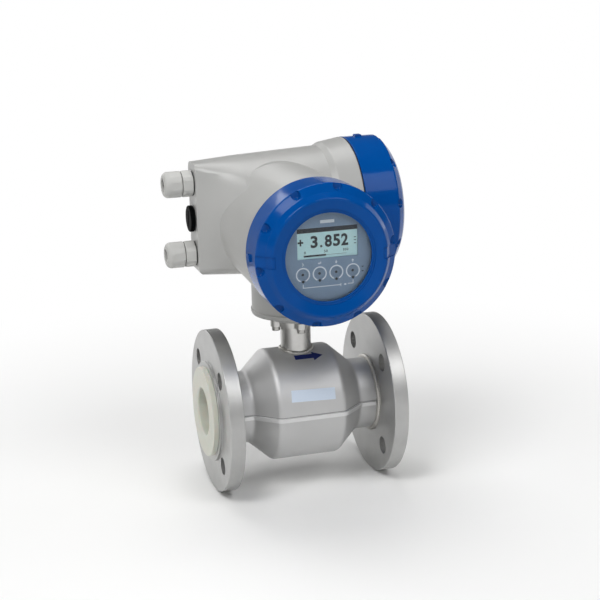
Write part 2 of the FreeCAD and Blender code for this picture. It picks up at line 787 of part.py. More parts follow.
def cover_seal(origin, axis):
    inner = spigot_r + slip_gap
    outer = cover_r - seal_inset
    return turned([
        (inner, 0, 0), (outer, 0, 0.5), (outer, seal_t, 0.5), (inner, seal_t, 0)], origin, axis, Z)


def window_glass():
    top = window_rim_h - window_rim_t - bonded_gap
    return turned([
        (0, top - glass_t + 2 * bonded_gap, 0), (glass_r, top - glass_t + 2 * bonded_gap, 0.3),
        (glass_r, top, 0.3), (0, top, 0)], DRUM, Y * -1, X)


def window_ring():
    """Open snap ring that holds the glass in the front cover."""
    top = window_rim_h - window_rim_t - glass_t - bonded_gap
    hoop = ring(ring_in_r, ring_out_r, top - ring_t + bonded_gap, top, DRUM, Y * -1)
    gap_low = DRUM + FreeCAD.Vector(-3, -top - 1, -ring_out_r - 1)
    return hoop.cut(Part.makeBox(6, ring_t + 2, ring_out_r - ring_in_r + 3, gap_low))


# ---- display and electronics ------------------------------------------------------------

def key_places():
    first = key_x - key_pitch * (key_count - 1) / 2.0
    return [DRUM + FreeCAD.Vector(first + key_pitch * k, 0, key_z) for k in range(key_count)]


def lcd_block(low_h, high_h, margin):
    """Upright block behind the display window, grown by margin on each side."""
    half_w = lcd_w / 2.0 + margin
    half_tall = lcd_tall / 2.0 + margin
    return box(
        (lcd_x - half_w, drum_face_y - high_h, drum_z + lcd_z - half_tall),
        (lcd_x + half_w, drum_face_y - low_h, drum_z + lcd_z + half_tall))


def display_panel():
    panel = turned([
        (0, panel_h, 0), (panel_r, panel_h, 0.8), (panel_r, insert_front_h, 0),
        (panel_r - panel_skirt_wall, insert_front_h, 0),
        (panel_r - panel_skirt_wall, panel_h - panel_t, 0), (0, panel_h - panel_t, 0)],
        DRUM, Y * -1, X)
    cuts = [lcd_block(panel_h - panel_t - 1, panel_h + 1, 0.0)]
    for place in key_places():
        cuts.append(cylinder(key_r, panel_h - key_sunk, panel_h + 1, place, Y * -1))
        cuts.append(cylinder(key_lens_r + bonded_gap, panel_h - panel_t - 1, panel_h, place, Y * -1))
    return panel.cut(cuts)


def lcd_module():
    top = panel_h - panel_t - bonded_gap
    inside = cylinder(panel_r - panel_skirt_wall - bonded_gap, 0, panel_h, DRUM, Y * -1)
    return lcd_block(top - lcd_module_t, top, lcd_margin).common(inside)


def key_lenses():
    top = panel_h - key_sunk
    lenses = []
    for place in key_places():
        lenses.append(turned([
            (0, top - key_lens_t, 0), (key_lens_r, top - key_lens_t, 0), (key_lens_r, top, 0.3),
            (0, top, 0)], place, Y * -1, X))
    return Part.makeCompound(lenses)


def electronics_insert():
    """Plastic cup that slides into the drum with the boards and carries the display."""
    back = drum_face_y - partition_y + insert_gap
    section = [
        (insert_hole_r, insert_front_h, 0), (insert_r, insert_front_h, 0.5), (insert_r, back, 0.5),
        (0, back, 0), (0, back + insert_wall, 0), (insert_r - insert_wall, back + insert_wall, 0),
        (insert_r - insert_wall, insert_front_h - insert_wall, 0),
        (insert_hole_r, insert_front_h - insert_wall, 0)]
    return turned(section, DRUM, Y * -1, X)


def board(height):
    r = insert_r - insert_wall - board_gap / 2.0
    disc = cylinder(r, height, height + board_t, DRUM, Y * -1)
    return disc.cut(box((-8, -200, drum_z - r - 1), (8, 200, drum_z - r + 5)))


def display_board():
    low = insert_front_h + bonded_gap
    return cylinder(panel_r - panel_skirt_wall - 0.3, low, low + board_t, DRUM, Y * -1)


def power_transformer():
    """Wound transformer that stands on the power board."""
    top = power_board_h + board_t + transformer_tall
    low = power_board_h + board_t
    core = box((-20, drum_face_y - top, drum_z - 4), (16, drum_face_y - low, drum_z + 26))
    window = ring(5.0, 11.0, low - 1, top - 3, DRUM + FreeCAD.Vector(-2, 0, 11), Y * -1)
    return core.cut(window)


# ---- terminal compartment ---------------------------------------------------------------

def terminal_carrier():
    low = carrier_seat_x + bonded_gap
    disc = cylinder(spigot_bore_r - slip_gap, low, low + carrier_t, BARREL, X)
    disc = disc.cut(box((0, carrier_cut_y, 0), (200, 200, 400)))
    holes = [cylinder(carrier_screw_r + bonded_gap, low - 1, low + carrier_t + 1, place, X)
             for place in carrier_posts()]
    return disc.cut(holes)


def strip_centres():
    middle = (strip_count - 1) / 2.0
    return [FreeCAD.Vector(0, strip_y, barrel_z + (k - middle) * strip_pitch) for k in range(strip_count)]


def terminal_strips():
    """Pluggable terminal blocks with a wire funnel and a screw well for each wire."""
    low = carrier_seat_x + 2 * bonded_gap + carrier_t
    strips = []
    for centre in strip_centres():
        strip = box((low, centre.y - strip_w / 2.0, centre.z - strip_tall / 2.0),
                    (low + strip_t, centre.y + strip_w / 2.0, centre.z + strip_tall / 2.0))
        for z in screw_heights(centre):
            well = FreeCAD.Vector(0, centre.y - strip_w / 5.0, z)
            funnel = FreeCAD.Vector(low + strip_t * 0.45, centre.y, z)
            strip = strip.cut([
                cylinder(strip_screw_r + 0.2, low + strip_t - 3.0, low + strip_t + 1, well, X),
                cylinder(strip_screw_r, 0, strip_w, funnel, Y)])
        strips.append(strip)
    return Part.makeCompound(strips)


def screw_heights(centre):
    pitch = strip_tall / strip_screws
    return [centre.z + (k - (strip_screws - 1) / 2.0) * pitch for k in range(strip_screws)]


def terminal_screws():
    low = carrier_seat_x + 2 * bonded_gap + carrier_t + strip_t - 3.0
    screws = []
    for centre in strip_centres():
        for z in screw_heights(centre):
            place = FreeCAD.Vector(0, centre.y - strip_w / 5.0, z)
            head = cylinder(strip_screw_r, low, low + 2.2, place, X)
            slot = box((low + 1.4, place.y - 2, z - 0.3), (low + 3, place.y + 2, z + 0.3))
            screws.append(head.cut(slot))
    return Part.makeCompound(screws)


def carrier_screws():
    low = carrier_seat_x + 2 * bonded_gap + carrier_t
    screws = []
    for place in carrier_posts():
        head = turned([
            (0, low, 0), (2 * carrier_screw_r, low, 0), (2 * carrier_screw_r, low + 2.6, 1.0),
            (0, low + 2.6, 0)], place, X, Z)
        shank = cylinder(carrier_screw_r, low - carrier_t - 8.0, low + 0.5, place, X)
        slot = box((low + 1.4, place.y - 5, place.z - 0.5), (low + 3, place.y + 5, place.z + 0.5))
        screws.append(fused([head, shank]).cut(slot))
    return Part.makeCompound(screws)


# ---- cable entries ----------------------------------------------------------------------

def gland_body(place):
    out = X * -1
    base = gland_seal_t + bonded_gap
    hexagon = prism(gland_hex, 6, base, base + gland_hex_t, place, out, Z)
    chamfer = turned([
        (0, base, 0), (gland_hex / 2.0 + 0.9, base, 0), (gland_hex / 2.0 + 0.9, base + gland_hex_t, 1.4),
        (0, base + gland_hex_t, 0)], place, out, Z)
    shank = cylinder(entry_thread_r - gland_shank_gap, -cast_wall - 3, base + 0.5, place, out)
    top = base + gland_hex_t + nut_gap + nut_thread_depth - 1
    neck = cylinder(gland_neck_r, base + gland_hex_t - 1, top, place, out)
    bore = cylinder(gland_bore_r, -cast_wall - 4, top + 1, place, out)
    return fused([hexagon.common(chamfer), shank, neck]).cut(bore)


def entry_seal(place):
    return turned([
        (entry_thread_r + 0.1, 0, 0), (entry_thread_r + 2.1, 0, 0.4),
        (entry_thread_r + 2.1, gland_seal_t, 0.4), (entry_thread_r + 0.1, gland_seal_t, 0)],
        place, X * -1, Z)


def nut_base():
    return gland_seal_t + bonded_gap + gland_hex_t + nut_gap


def gland_insert(place):
    """Rubber sleeve in the gland's mouth; the dome nut squeezes it on the cable."""
    mouth = nut_base() + nut_thread_depth - 1 + bonded_gap
    return turned([
        (gland_insert_bore_r, mouth - 9, 0), (gland_bore_r - slip_gap, mouth - 9, 0),
        (gland_bore_r - slip_gap, mouth, 0), (gland_neck_r - 0.9, mouth, 0.5),
        (gland_bore_r, mouth + 3.4, 0.5), (gland_insert_bore_r, mouth + 3.4, 0)],
        place, X * -1, Z)


def dome_nut(place):
    out = X * -1
    low = nut_base()
    top = low + nut_length
    inner_top = low + nut_thread_depth + 1.5
    body = turned([
        (gland_neck_r + slip_gap, low, 0.3), (nut_r, low, 1.0), (nut_r, top, nut_nose_round),
        (nut_mouth_r, top, 0.8), (nut_mouth_r, top - 2.4, 0.3),
        (gland_neck_r + slip_gap, inner_top, 0)], place, out, Z)
    facets = prism(nut_facet_flats, nut_facets, low, low + nut_grip, place, out, Z)
    nose = cylinder(nut_r + 1, low + nut_grip, top, place, out)
    return body.common(facets.fuse(nose))


def blanking_plug(place):
    out = X * -1
    base = gland_seal_t + bonded_gap
    head = turned([
        (0, base, 0), (plug_r, base, 0), (plug_r, base + plug_t, 1.2), (0, base + plug_t, 0)],
        place, out, Z)
    shank = cylinder(entry_thread_r - gland_shank_gap, -cast_wall - 3, base + 0.5, place, out)
    slot_low = entry_face_x - base - plug_t - 1
    slot = box((slot_low, -plug_slot / 2.0, place.z - plug_r * 0.62),
               (slot_low + 1 + plug_slot_depth, plug_slot / 2.0, place.z + plug_r * 0.62))
    return fused([head, shank]).cut(slot)


BARREL = Z * barrel_z
DRUM = FreeCAD.Vector(0, drum_face_y, drum_z)
TERMINAL_SEAT = FreeCAD.Vector(collar_face_x, 0, barrel_z)
ENTRY = entry_places()

NODES = {
    "measuring_tube": measuring_tube,
    "liner": liner,
    "inlet_flange": lambda: flange(-1),
    "outlet_flange": lambda: flange(1),
    "upper_housing_shell": lambda: half_shell(1),
    "lower_housing_shell": lambda: half_shell(-1),
    "upper_pole_shoe": lambda: pole_shoe(1),
    "lower_pole_shoe": lambda: pole_shoe(-1),
    "upper_field_coil": lambda: field_coil(1),
    "lower_field_coil": lambda: field_coil(-1),
    "return_yoke": return_yoke,
    "front_electrode": lambda: electrode(electrode_axes()["front"]),
    "rear_electrode": lambda: electrode(electrode_axes()["rear"]),
    "electrode_bushes": electrode_bushes,
    "electrode_springs": electrode_springs,
    "electrode_nuts": electrode_nuts,
    "neck_tube": neck_tube,
    "neck_flange": neck_flange,
    "neck_gasket": neck_gasket,
    "neck_screws": neck_screws,
    "lead_seal": lead_seal,
    "converter_housing": converter_housing,
    "front_cover": front_cover,
    "front_cover_seal": lambda: cover_seal(DRUM, Y * -1),
    "window_glass": window_glass,
    "window_ring": window_ring,
    "display_panel": display_panel,
    "lcd_module": lcd_module,
    "key_lenses": key_lenses,
    "display_board": display_board,
    "electronics_insert": electronics_insert,
    "signal_board": lambda: board(signal_board_h),
    "power_board": lambda: board(power_board_h),
    "power_transformer": power_transformer,
    "terminal_cover": terminal_cover,
    "terminal_cover_seal": lambda: cover_seal(TERMINAL_SEAT, X),
    "terminal_carrier": terminal_carrier,
    "terminal_strips": terminal_strips,
    "terminal_screws": terminal_screws,
    "carrier_screws": carrier_screws,
    "upper_gland_body": lambda: gland_body(ENTRY["upper"]),
    "upper_gland_seal": lambda: entry_seal(ENTRY["upper"]),
    "upper_gland_insert": lambda: gland_insert(ENTRY["upper"]),
    "upper_dome_nut": lambda: dome_nut(ENTRY["upper"]),
    "lower_gland_body": lambda: gland_body(ENTRY["lower"]),
    "lower_gland_seal": lambda: entry_seal(ENTRY["lower"]),
    "lower_gland_insert": lambda: gland_insert(ENTRY["lower"]),
    "lower_dome_nut": lambda: dome_nut(ENTRY["lower"]),
    "blanking_plug": lambda: blanking_plug(ENTRY["middle"]),
    "blanking_plug_seal": lambda: entry_seal(ENTRY["middle"]),
}

os.makedirs("parts", exist_ok=True)
for name, make in NODES.items():
    shape = make()
    print(name, len(shape.Solids), shape.isValid(), round(shape.Volume / 1000.0, 2))
    shape.exportStep("parts/" + name + ".step")
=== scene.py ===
# %% [markdown]
# # Electromagnetic flow meter
# A steel measuring tube between two pipe flanges, with a signal converter on its neck. The
# solids come ready-made from the construction model. This lesson gives them their finishes,
# prints the display and adds the small things that a solid doesn't hold: threads, weld ripples,
# the flow arrow and the printed marks round the keys.

# %% Load the frame
import json
import math
import bmesh
import bpy
from mathutils import Matrix, Vector


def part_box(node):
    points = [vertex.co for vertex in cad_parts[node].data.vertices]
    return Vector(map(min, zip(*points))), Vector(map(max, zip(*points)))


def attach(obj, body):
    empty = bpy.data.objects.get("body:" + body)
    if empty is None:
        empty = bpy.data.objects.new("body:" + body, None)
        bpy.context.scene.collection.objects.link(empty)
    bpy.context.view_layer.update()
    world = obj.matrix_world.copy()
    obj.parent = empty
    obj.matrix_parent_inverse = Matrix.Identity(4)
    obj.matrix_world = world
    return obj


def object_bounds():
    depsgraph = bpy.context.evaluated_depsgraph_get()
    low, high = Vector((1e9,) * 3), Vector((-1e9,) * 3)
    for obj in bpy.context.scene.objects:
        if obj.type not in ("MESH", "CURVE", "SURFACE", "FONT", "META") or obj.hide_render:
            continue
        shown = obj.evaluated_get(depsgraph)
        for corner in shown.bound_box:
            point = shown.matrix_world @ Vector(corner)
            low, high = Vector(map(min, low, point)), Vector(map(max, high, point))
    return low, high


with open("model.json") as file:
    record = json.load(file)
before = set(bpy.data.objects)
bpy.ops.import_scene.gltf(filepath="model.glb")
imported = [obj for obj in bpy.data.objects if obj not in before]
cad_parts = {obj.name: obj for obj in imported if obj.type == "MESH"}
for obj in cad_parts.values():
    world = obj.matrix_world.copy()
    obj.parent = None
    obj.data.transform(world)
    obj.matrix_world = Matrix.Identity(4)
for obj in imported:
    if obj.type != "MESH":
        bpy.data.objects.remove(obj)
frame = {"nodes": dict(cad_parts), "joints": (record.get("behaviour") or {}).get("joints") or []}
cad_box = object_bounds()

MM = 0.001
nodes = frame["nodes"]

# %% [markdown]
# Colours are easiest to think of as sRGB hex values, the way a colour picker shows them. The
# renderer works with linear light, so one function turns them round. A second small function
# adds any node with its settings and links, so that each material below reads as a recipe.

# %% Two helpers for materials
def linear(colour):
    """Linear red, green, blue and alpha of a hex colour."""
    parts = [int(colour[i:i + 2], 16) / 255 for i in (0, 2, 4)]
    light = [p / 12.92 if p <= 0.04045 else ((p + 0.055) / 1.055) ** 2.4 for p in parts]
    return (*light, 1.0)


def add_node(tree, kind, inputs=None, **settings):
    """Adds a node. Inputs take a number, a colour or another node's output."""
    made = tree.nodes.new(kind)
    for name, value in settings.items():
        setattr(made, name, value)
    for name, value in (inputs or {}).items():
        if isinstance(value, bpy.types.NodeSocket):
            tree.links.new(value, made.inputs[name])
        else:
            made.inputs[name].default_value = value
    return made


def new_finish(name, **sockets):
    """A material with one Principled shader. Returns it with its node tree and shader."""
    material = bpy.data.materials.new(name)
    material.use_nodes = True
    shader = material.node_tree.nodes["Principled BSDF"]
    for socket, value in sockets.items():
        shader.inputs[socket.replace("_", " ")].default_value = value
    return material, material.node_tree, shader


print("sRGB b9 in linear light:", round(linear("b9b9b9")[0], 3))

# %% [markdown]
# ## Camera
# The camera stands a little to the left of the display and above the pipe, as someone reading
# the display would. It stands well back with a long lens, so that both flanges keep nearly the
# same size.

# %% Camera
VIEW_TURN = math.radians(16.73)
VIEW_RISE = math.radians(15.05)
VIEW_ROLL = math.radians(1.45)
VIEW_DISTANCE = 1.5496
VIEW_CENTRE = Vector((0.0057, 0.0, 0.1062))
LENS_MM = 91.62

back = Vector((
    -math.sin(VIEW_TURN) * math.cos(VIEW_RISE),
    -math.cos(VIEW_TURN) * math.cos(VIEW_RISE),
    math.sin(VIEW_RISE)))
level = Vector((math.cos(VIEW_TURN), -math.sin(VIEW_TURN), 0.0))
upright = back.cross(level)
right = level * math.cos(VIEW_ROLL) - upright * math.sin(VIEW_ROLL)
up = level * math.sin(VIEW_ROLL) + upright * math.cos(VIEW_ROLL)

camera_data = bpy.data.cameras.new("camera")
camera_data.lens = LENS_MM
camera_data.sensor_width = 36.0
camera = bpy.data.objects.new("camera", camera_data)
bpy.context.scene.collection.objects.link(camera)
turn = Matrix((right, up, back)).transposed().to_4x4()
camera.matrix_world = Matrix.Translation(VIEW_CENTRE + back * VIEW_DISTANCE) @ turn
bpy.context.scene.camera = camera
bpy.context.scene.view_settings.view_transform = "Standard"
print("camera at", tuple(round(v, 3) for v in camera.location))

# %% [markdown]
# ## Floor
# The meter stands on its two flanges. The floor is one flat face at their lowest point, wide
# enough to reach the horizon from any side. It only belongs to the stage, not to the part.

# %% Floor
floor_z = cad_box[0].z
FLOOR_HALF = 30.0          # metres
corners = [(-1, -1), (1, -1), (1, 1), (-1, 1)]
floor_points = [(x * FLOOR_HALF, y * FLOOR_HALF, floor_z) for x, y in corners]
floor_mesh = bpy.data.meshes.new("floor")
floor_mesh.from_pydata(floor_points, [], [(0, 1, 2, 3)])
floor = bpy.data.objects.new("floor", floor_mesh)
bpy.context.scene.collection.objects.link(floor)
print("floor at", round(floor_z / MM, 1), "mm")

# %% [markdown]
# Satin steel and gloss paint only look right when there is something pale to reflect. Near the
# object the floor is matt white paper, which catches the shadow. Further out it turns plain white
# for the camera, and for glass and metal too, so that they show the same surroundings.

# %% Paper that turns plain white
PAPER_REACH, WHITE_REACH = 0.12, 0.75     # metres from the object

pale_paper, tree, shader = new_finish(
    "pale_paper", Base_Color=linear("f6f6f5"), Roughness=0.9, Specular_IOR_Level=0.1)
place = add_node(tree, "ShaderNodeTexCoord").outputs["Object"]
distance = add_node(tree, "ShaderNodeVectorMath", {0: place}, operation="LENGTH")
far = add_node(tree, "ShaderNodeMapRange", {
    "Value": distance.outputs["Value"], "From Min": PAPER_REACH, "From Max": WHITE_REACH},
    interpolation_type="SMOOTHSTEP")
rays = add_node(tree, "ShaderNodeLightPath")
mirror = add_node(tree, "ShaderNodeMath", {
    0: rays.outputs["Is Glossy Ray"], 1: rays.outputs["Is Transmission Ray"]}, operation="MAXIMUM")
seen = add_node(tree, "ShaderNodeMath", {
    0: rays.outputs["Is Camera Ray"], 1: mirror.outputs[0]}, operation="MAXIMUM")
share = add_node(tree, "ShaderNodeMath", {0: far.outputs[0], 1: seen.outputs[0]}, operation="MULTIPLY")
white = add_node(tree, "ShaderNodeEmission", {"Color": (1.0, 1.0, 1.0, 1.0), "Strength": 1.0})
both = add_node(tree, "ShaderNodeMixShader", {
    0: share.outputs[0], 1: shader.outputs[0], 2: white.outputs[0]})
tree.links.new(both.outputs[0], tree.nodes["Material Output"].inputs["Surface"])
floor_mesh.materials.append(pale_paper)
print(pale_paper.name, "up to", PAPER_REACH, "m, plain white from", WHITE_REACH, "m")

# %% [markdown]
# ## Lamps
# Six lamps as large as softboxes stand round the object. The strongest are high up on the left, in
# front and above, and a broad one behind draws bright upper edges. Large lamps give soft edges to
# the light on round parts. Their power is set so that a colour renders about as it is written.

# %% Lamps
def softbox(name, place, width, height, watts):
    """An area lamp that faces the middle of the object."""
    lamp = bpy.data.lights.new(name, "AREA")
    lamp.shape = "RECTANGLE"
    lamp.size, lamp.size_y = width, height
    lamp.energy = watts
    holder = bpy.data.objects.new(name, lamp)
    bpy.context.scene.collection.objects.link(holder)
    holder.location = place
    holder.rotation_euler = (VIEW_CENTRE - Vector(place)).to_track_quat("-Z", "Y").to_euler()


softbox("key_lamp", (-0.7, -0.75, 1.4), 0.6, 0.6, 13)
softbox("left_lamp", (-1.35, -0.5, 0.6), 0.3, 1.0, 2)
softbox("front_lamp", (0.6, -1.25, 1.45), 0.9, 0.9, 11)
softbox("top_lamp", (0.0, 0.5, 1.8), 1.0, 1.0, 12)
softbox("right_lamp", (1.5, 0.5, 0.6), 0.6, 0.8, 3)
softbox("rear_lamp", (-0.6, 1.8, 0.9), 1.0, 1.0, 8)

# %% [markdown]
# ## Room
# The room looks the same to every ray. A thin white mist on the horizon carries the floor on, and
# shows as a bright line on the upper edges of steel. Above it the room is dim, so that gloss
# paint and glass keep their own colour.

# %% World
MIST, MIST_FOOT, MIST_HEAD = 1.0, 0.05, 0.16    # strength, and the heights between which it fades
LOW_ROOM, HIGH_ROOM, ROOM_HEAD = 0.14, 0.08, 0.45
world = bpy.data.worlds.new("studio")
world.use_nodes = True
bpy.context.scene.world = world
sky_tree = world.node_tree
sky = sky_tree.nodes["Background"]
sky.inputs["Color"].default_value = linear("ffffff")
direction = add_node(sky_tree, "ShaderNodeTexCoord").outputs["Generated"]
height = add_node(sky_tree, "ShaderNodeSeparateXYZ", {"Vector": direction})
room = add_node(sky_tree, "ShaderNodeMapRange", {
    "Value": height.outputs["Z"], "From Min": 0.0, "From Max": ROOM_HEAD,
    "To Min": LOW_ROOM, "To Max": HIGH_ROOM}, interpolation_type="SMOOTHSTEP")
mist = add_node(sky_tree, "ShaderNodeMapRange", {
    "Value": height.outputs["Z"], "From Min": MIST_FOOT, "From Max": MIST_HEAD,
    "To Min": MIST, "To Max": 0.0}, interpolation_type="SMOOTHSTEP")
strength = add_node(sky_tree, "ShaderNodeMath", {
    0: room.outputs[0], 1: mist.outputs[0]}, operation="MAXIMUM")
sky_tree.links.new(strength.outputs[0], sky.inputs["Strength"])
print("room strength:", MIST, "at the horizon,", LOW_ROOM, "above it,", HIGH_ROOM, "overhead")

# %% [markdown]
# ## Stainless steel
# The flanges are turned on a lathe: the tool leaves fine rings round the pipe axis, and light
# stretches across them. The distance from the axis plus the distance along it gives one number
# that changes across every turned face, flat or round, so one line of noise along it draws all
# the tool marks. Real marks are about 0.2 mm apart, too fine to show, so they are drawn coarser.
# Broad clouds of 18 mm keep the grey from looking painted.

# %% Turned stainless steel
TOOL_MARK = 1.1 * MM
STEEL_CLOUD = 18 * MM
COLOUR_A, COLOUR_B, COLOUR_OUT = 6, 7, 2    # a Mix node's colour sockets

turned_stainless, tree, shader = new_finish(
    "turned_stainless", Metallic=1.0, Anisotropic=0.4)
place = add_node(tree, "ShaderNodeTexCoord").outputs["Object"]
split = add_node(tree, "ShaderNodeSeparateXYZ", {"Vector": place})
across = add_node(tree, "ShaderNodeCombineXYZ", {"Y": split.outputs["Y"], "Z": split.outputs["Z"]})
radius = add_node(tree, "ShaderNodeVectorMath", {0: across.outputs[0]}, operation="LENGTH")
path = add_node(tree, "ShaderNodeMath", {0: radius.outputs["Value"], 1: split.outputs["X"]})
marks = add_node(tree, "ShaderNodeTexNoise", {
    "W": path.outputs[0], "Scale": 1 / TOOL_MARK, "Detail": 3.0}, noise_dimensions="1D")
clouds = add_node(tree, "ShaderNodeTexNoise", {"Vector": place, "Scale": 1 / STEEL_CLOUD, "Detail": 4.0})
tint = add_node(tree, "ShaderNodeMix", {
    0: clouds.outputs["Fac"], COLOUR_A: linear("b2b2b1"), COLOUR_B: linear("c4c4c3")}, data_type="RGBA")
gloss = add_node(tree, "ShaderNodeMapRange", {
    "Value": marks.outputs["Fac"], "To Min": 0.36, "To Max": 0.5})
rings = add_node(tree, "ShaderNodeBump", {
    "Height": marks.outputs["Fac"], "Strength": 0.35, "Distance": 0.05 * MM})
around_pipe = add_node(tree, "ShaderNodeTangent", direction_type="RADIAL", axis="X")
tree.links.new(tint.outputs[COLOUR_OUT], shader.inputs["Base Color"])
tree.links.new(gloss.outputs[0], shader.inputs["Roughness"])
tree.links.new(rings.outputs[0], shader.inputs["Normal"])
tree.links.new(around_pipe.outputs[0], shader.inputs["Tangent"])
print(turned_stainless.name, "marks", round(TOOL_MARK / MM, 2), "mm apart")

# %% [markdown]
# The two half shells are deep drawn and bead blasted. Blasting leaves tiny dents of about
# 0.3 mm, which break the reflection up into a soft satin. Broad faint clouds in the gloss show
# where hands and the blast nozzle went more often. The two lips along the seam get a painted
# highlight, and the corners above and below them a thin line of painted shade. The height over
# the seam tells the material which is which.

# %% Bead-blasted stainless steel
BLAST_DENT = 0.8 * MM      # drawn coarser than the real 0.3 mm, to show at all
HAND_CLOUD = 25 * MM
LIP_HALF = 1.95 * MM       # the lips, which get a painted highlight, reach this far from the seam
LIP_EDGE = 0.2 * MM        # over which the painted highlight on the lip ends
SHADE_REACH = 0.9 * MM      # where the painted shade in the corner ends, from the lip

blasted_stainless, tree, shader = new_finish("blasted_stainless", Metallic=1.0)
place = add_node(tree, "ShaderNodeTexCoord").outputs["Object"]
dents = add_node(tree, "ShaderNodeTexNoise", {"Vector": place, "Scale": 1 / BLAST_DENT, "Detail": 2.0})
clouds = add_node(tree, "ShaderNodeTexNoise", {"Vector": place, "Scale": 1 / HAND_CLOUD, "Detail": 5.0})
tint = add_node(tree, "ShaderNodeMix", {
    0: clouds.outputs["Fac"], COLOUR_A: linear("c8c8c8"), COLOUR_B: linear("d5d5d5")}, data_type="RGBA")
gloss = add_node(tree, "ShaderNodeMapRange", {
    "Value": clouds.outputs["Fac"], "From Min": 0.3, "From Max": 0.7, "To Min": 0.54, "To Max": 0.62})
grain = add_node(tree, "ShaderNodeBump", {
    "Height": dents.outputs["Fac"], "Strength": 0.25, "Distance": 0.06 * MM})
split = add_node(tree, "ShaderNodeSeparateXYZ", {"Vector": place})
off_seam = add_node(tree, "ShaderNodeMath", {0: split.outputs["Z"]}, operation="ABSOLUTE")
# painted shade: a dark grey line in the corners just above and below the lips
seam_shade_mask = add_node(tree, "ShaderNodeMapRange", {
    "Value": off_seam.outputs[0], "From Min": LIP_HALF + LIP_EDGE, "From Max": LIP_HALF + SHADE_REACH,
    "To Min": 1.0, "To Max": 0.0})
seam_shade = add_node(tree, "ShaderNodeMix", {
    0: seam_shade_mask.outputs[0], COLOUR_A: tint.outputs[COLOUR_OUT], COLOUR_B: linear("6e6e6e")},
    data_type="RGBA")
# painted highlight: the lips are a lighter grey, as if they caught the light from above
lip_highlight_mask = add_node(tree, "ShaderNodeMapRange", {
    "Value": off_seam.outputs[0], "From Min": LIP_HALF, "From Max": LIP_HALF + LIP_EDGE,
    "To Min": 1.0, "To Max": 0.0})
steel = add_node(tree, "ShaderNodeMix", {
    0: lip_highlight_mask.outputs[0], COLOUR_A: seam_shade.outputs[COLOUR_OUT], COLOUR_B: linear("e2e2e2")},
    data_type="RGBA")
tree.links.new(steel.outputs[COLOUR_OUT], shader.inputs["Base Color"])
tree.links.new(gloss.outputs[0], shader.inputs["Roughness"])
tree.links.new(grain.outputs[0], shader.inputs["Normal"])
print(blasted_stainless.name, "dents", round(BLAST_DENT / MM, 2), "mm")

# %% [markdown]
# Drawn tube and weld metal are smoother and brighter than the blasted shells, and screws are
# small and bright. Inside, the magnet has a dull iron yoke and copper coils, and the electrodes are
# polished alloy pins. They share one plain recipe: a metal whose shade and gloss wander over a few
# millimetres, less on polished pieces than on rough ones.

# %% Small steel parts
def small_metal(name, dark, light, low_gloss, high_gloss, grain_size):
    """A bare metal whose gloss and shade wander between two values."""
    material, tree, shader = new_finish(name, Metallic=1.0)
    place = add_node(tree, "ShaderNodeTexCoord").outputs["Object"]
    noise = add_node(tree, "ShaderNodeTexNoise", {"Vector": place, "Scale": 1 / grain_size, "Detail": 3.0})
    tint = add_node(tree, "ShaderNodeMix", {
        0: noise.outputs["Fac"], COLOUR_A: linear(dark), COLOUR_B: linear(light)}, data_type="RGBA")
    gloss = add_node(tree, "ShaderNodeMapRange", {
        "Value": noise.outputs["Fac"], "To Min": low_gloss, "To Max": high_gloss})
    tree.links.new(tint.outputs[COLOUR_OUT], shader.inputs["Base Color"])
    tree.links.new(gloss.outputs[0], shader.inputs["Roughness"])
    return material


drawn_stainless = small_metal("drawn_stainless", "b9b8b5", "cfcecc", 0.24, 0.36, 6 * MM)
weld_metal = small_metal("weld_metal", "a9a7a2", "cfcdc8", 0.3, 0.45, 1.5 * MM)
screw_steel = small_metal("screw_steel", "9c9b98", "c2c1be", 0.22, 0.36, 2 * MM)
soft_iron = small_metal("soft_iron", "5e5e5f", "7d7d7e", 0.4, 0.6, 3 * MM)
copper_winding = small_metal("copper_winding", "8a4a28", "b06a3c", 0.3, 0.5, 1.2 * MM)
electrode_alloy = small_metal("electrode_alloy", "b0aea8", "c9c7c2", 0.12, 0.2, 1 * MM)
print("small metals:", drawn_stainless.name, weld_metal.name, screw_steel.name, soft_iron.name)

# %% [markdown]
# ## Paint
# The converter's castings are powder coated. The powder melts into a skin with a faint orange
# peel, about 1.5 mm from bump to bump on the grey housing. The grey is a satin. The blue of the
# covers is smoother and its pigment is strong, so its reflections are kept weak: the lamps show
# as soft patches and the rest stays deep blue.

# %% Grey and blue powder coat
PAINT_CLOUD = 40 * MM      # how far apart the coat is a little thicker or thinner


def powder_coat(name, dark, light, roughness, shine, peel, peel_depth):
    """Powder coat on cast aluminium: a coloured skin with orange peel."""
    material, tree, shader = new_finish(
        name, Roughness=roughness, IOR=1.45, Specular_IOR_Level=shine)
    place = add_node(tree, "ShaderNodeTexCoord").outputs["Object"]
    clouds = add_node(tree, "ShaderNodeTexNoise", {"Vector": place, "Scale": 1 / PAINT_CLOUD, "Detail": 3.0})
    tint = add_node(tree, "ShaderNodeMix", {
        0: clouds.outputs["Fac"], COLOUR_A: linear(dark), COLOUR_B: linear(light)}, data_type="RGBA")
    skin = add_node(tree, "ShaderNodeTexNoise", {"Vector": place, "Scale": 1 / peel, "Detail": 1.0})
    bumps = add_node(tree, "ShaderNodeBump", {
        "Height": skin.outputs["Fac"], "Strength": 0.2, "Distance": peel_depth})
    tree.links.new(tint.outputs[COLOUR_OUT], shader.inputs["Base Color"])
    tree.links.new(bumps.outputs[0], shader.inputs["Normal"])
    return material


grey_powder_coat = powder_coat(
    "grey_powder_coat", "a3a3a1", "acacaa", 0.34, 0.5, 1.5 * MM, 0.04 * MM)
blue_powder_coat = powder_coat(
    "blue_powder_coat", "00438b", "004b97", 0.13, 0.13, 2.5 * MM, 0.03 * MM)
print(grey_powder_coat.name, blue_powder_coat.name)

# %% [markdown]
# ## Plastics and rubber
# Moulded parts take the fine texture that is etched into their mould. The liner is a milky
# fluoroplastic that lets a little light in, so it has some subsurface scattering. The glands
# are polyamide with a dull eggshell surface, the seals are black nitrile rubber.
# The circuit boards wear a green lacquer over woven glass, and the cast resin in the neck is
# smooth and dark. One recipe makes them all.

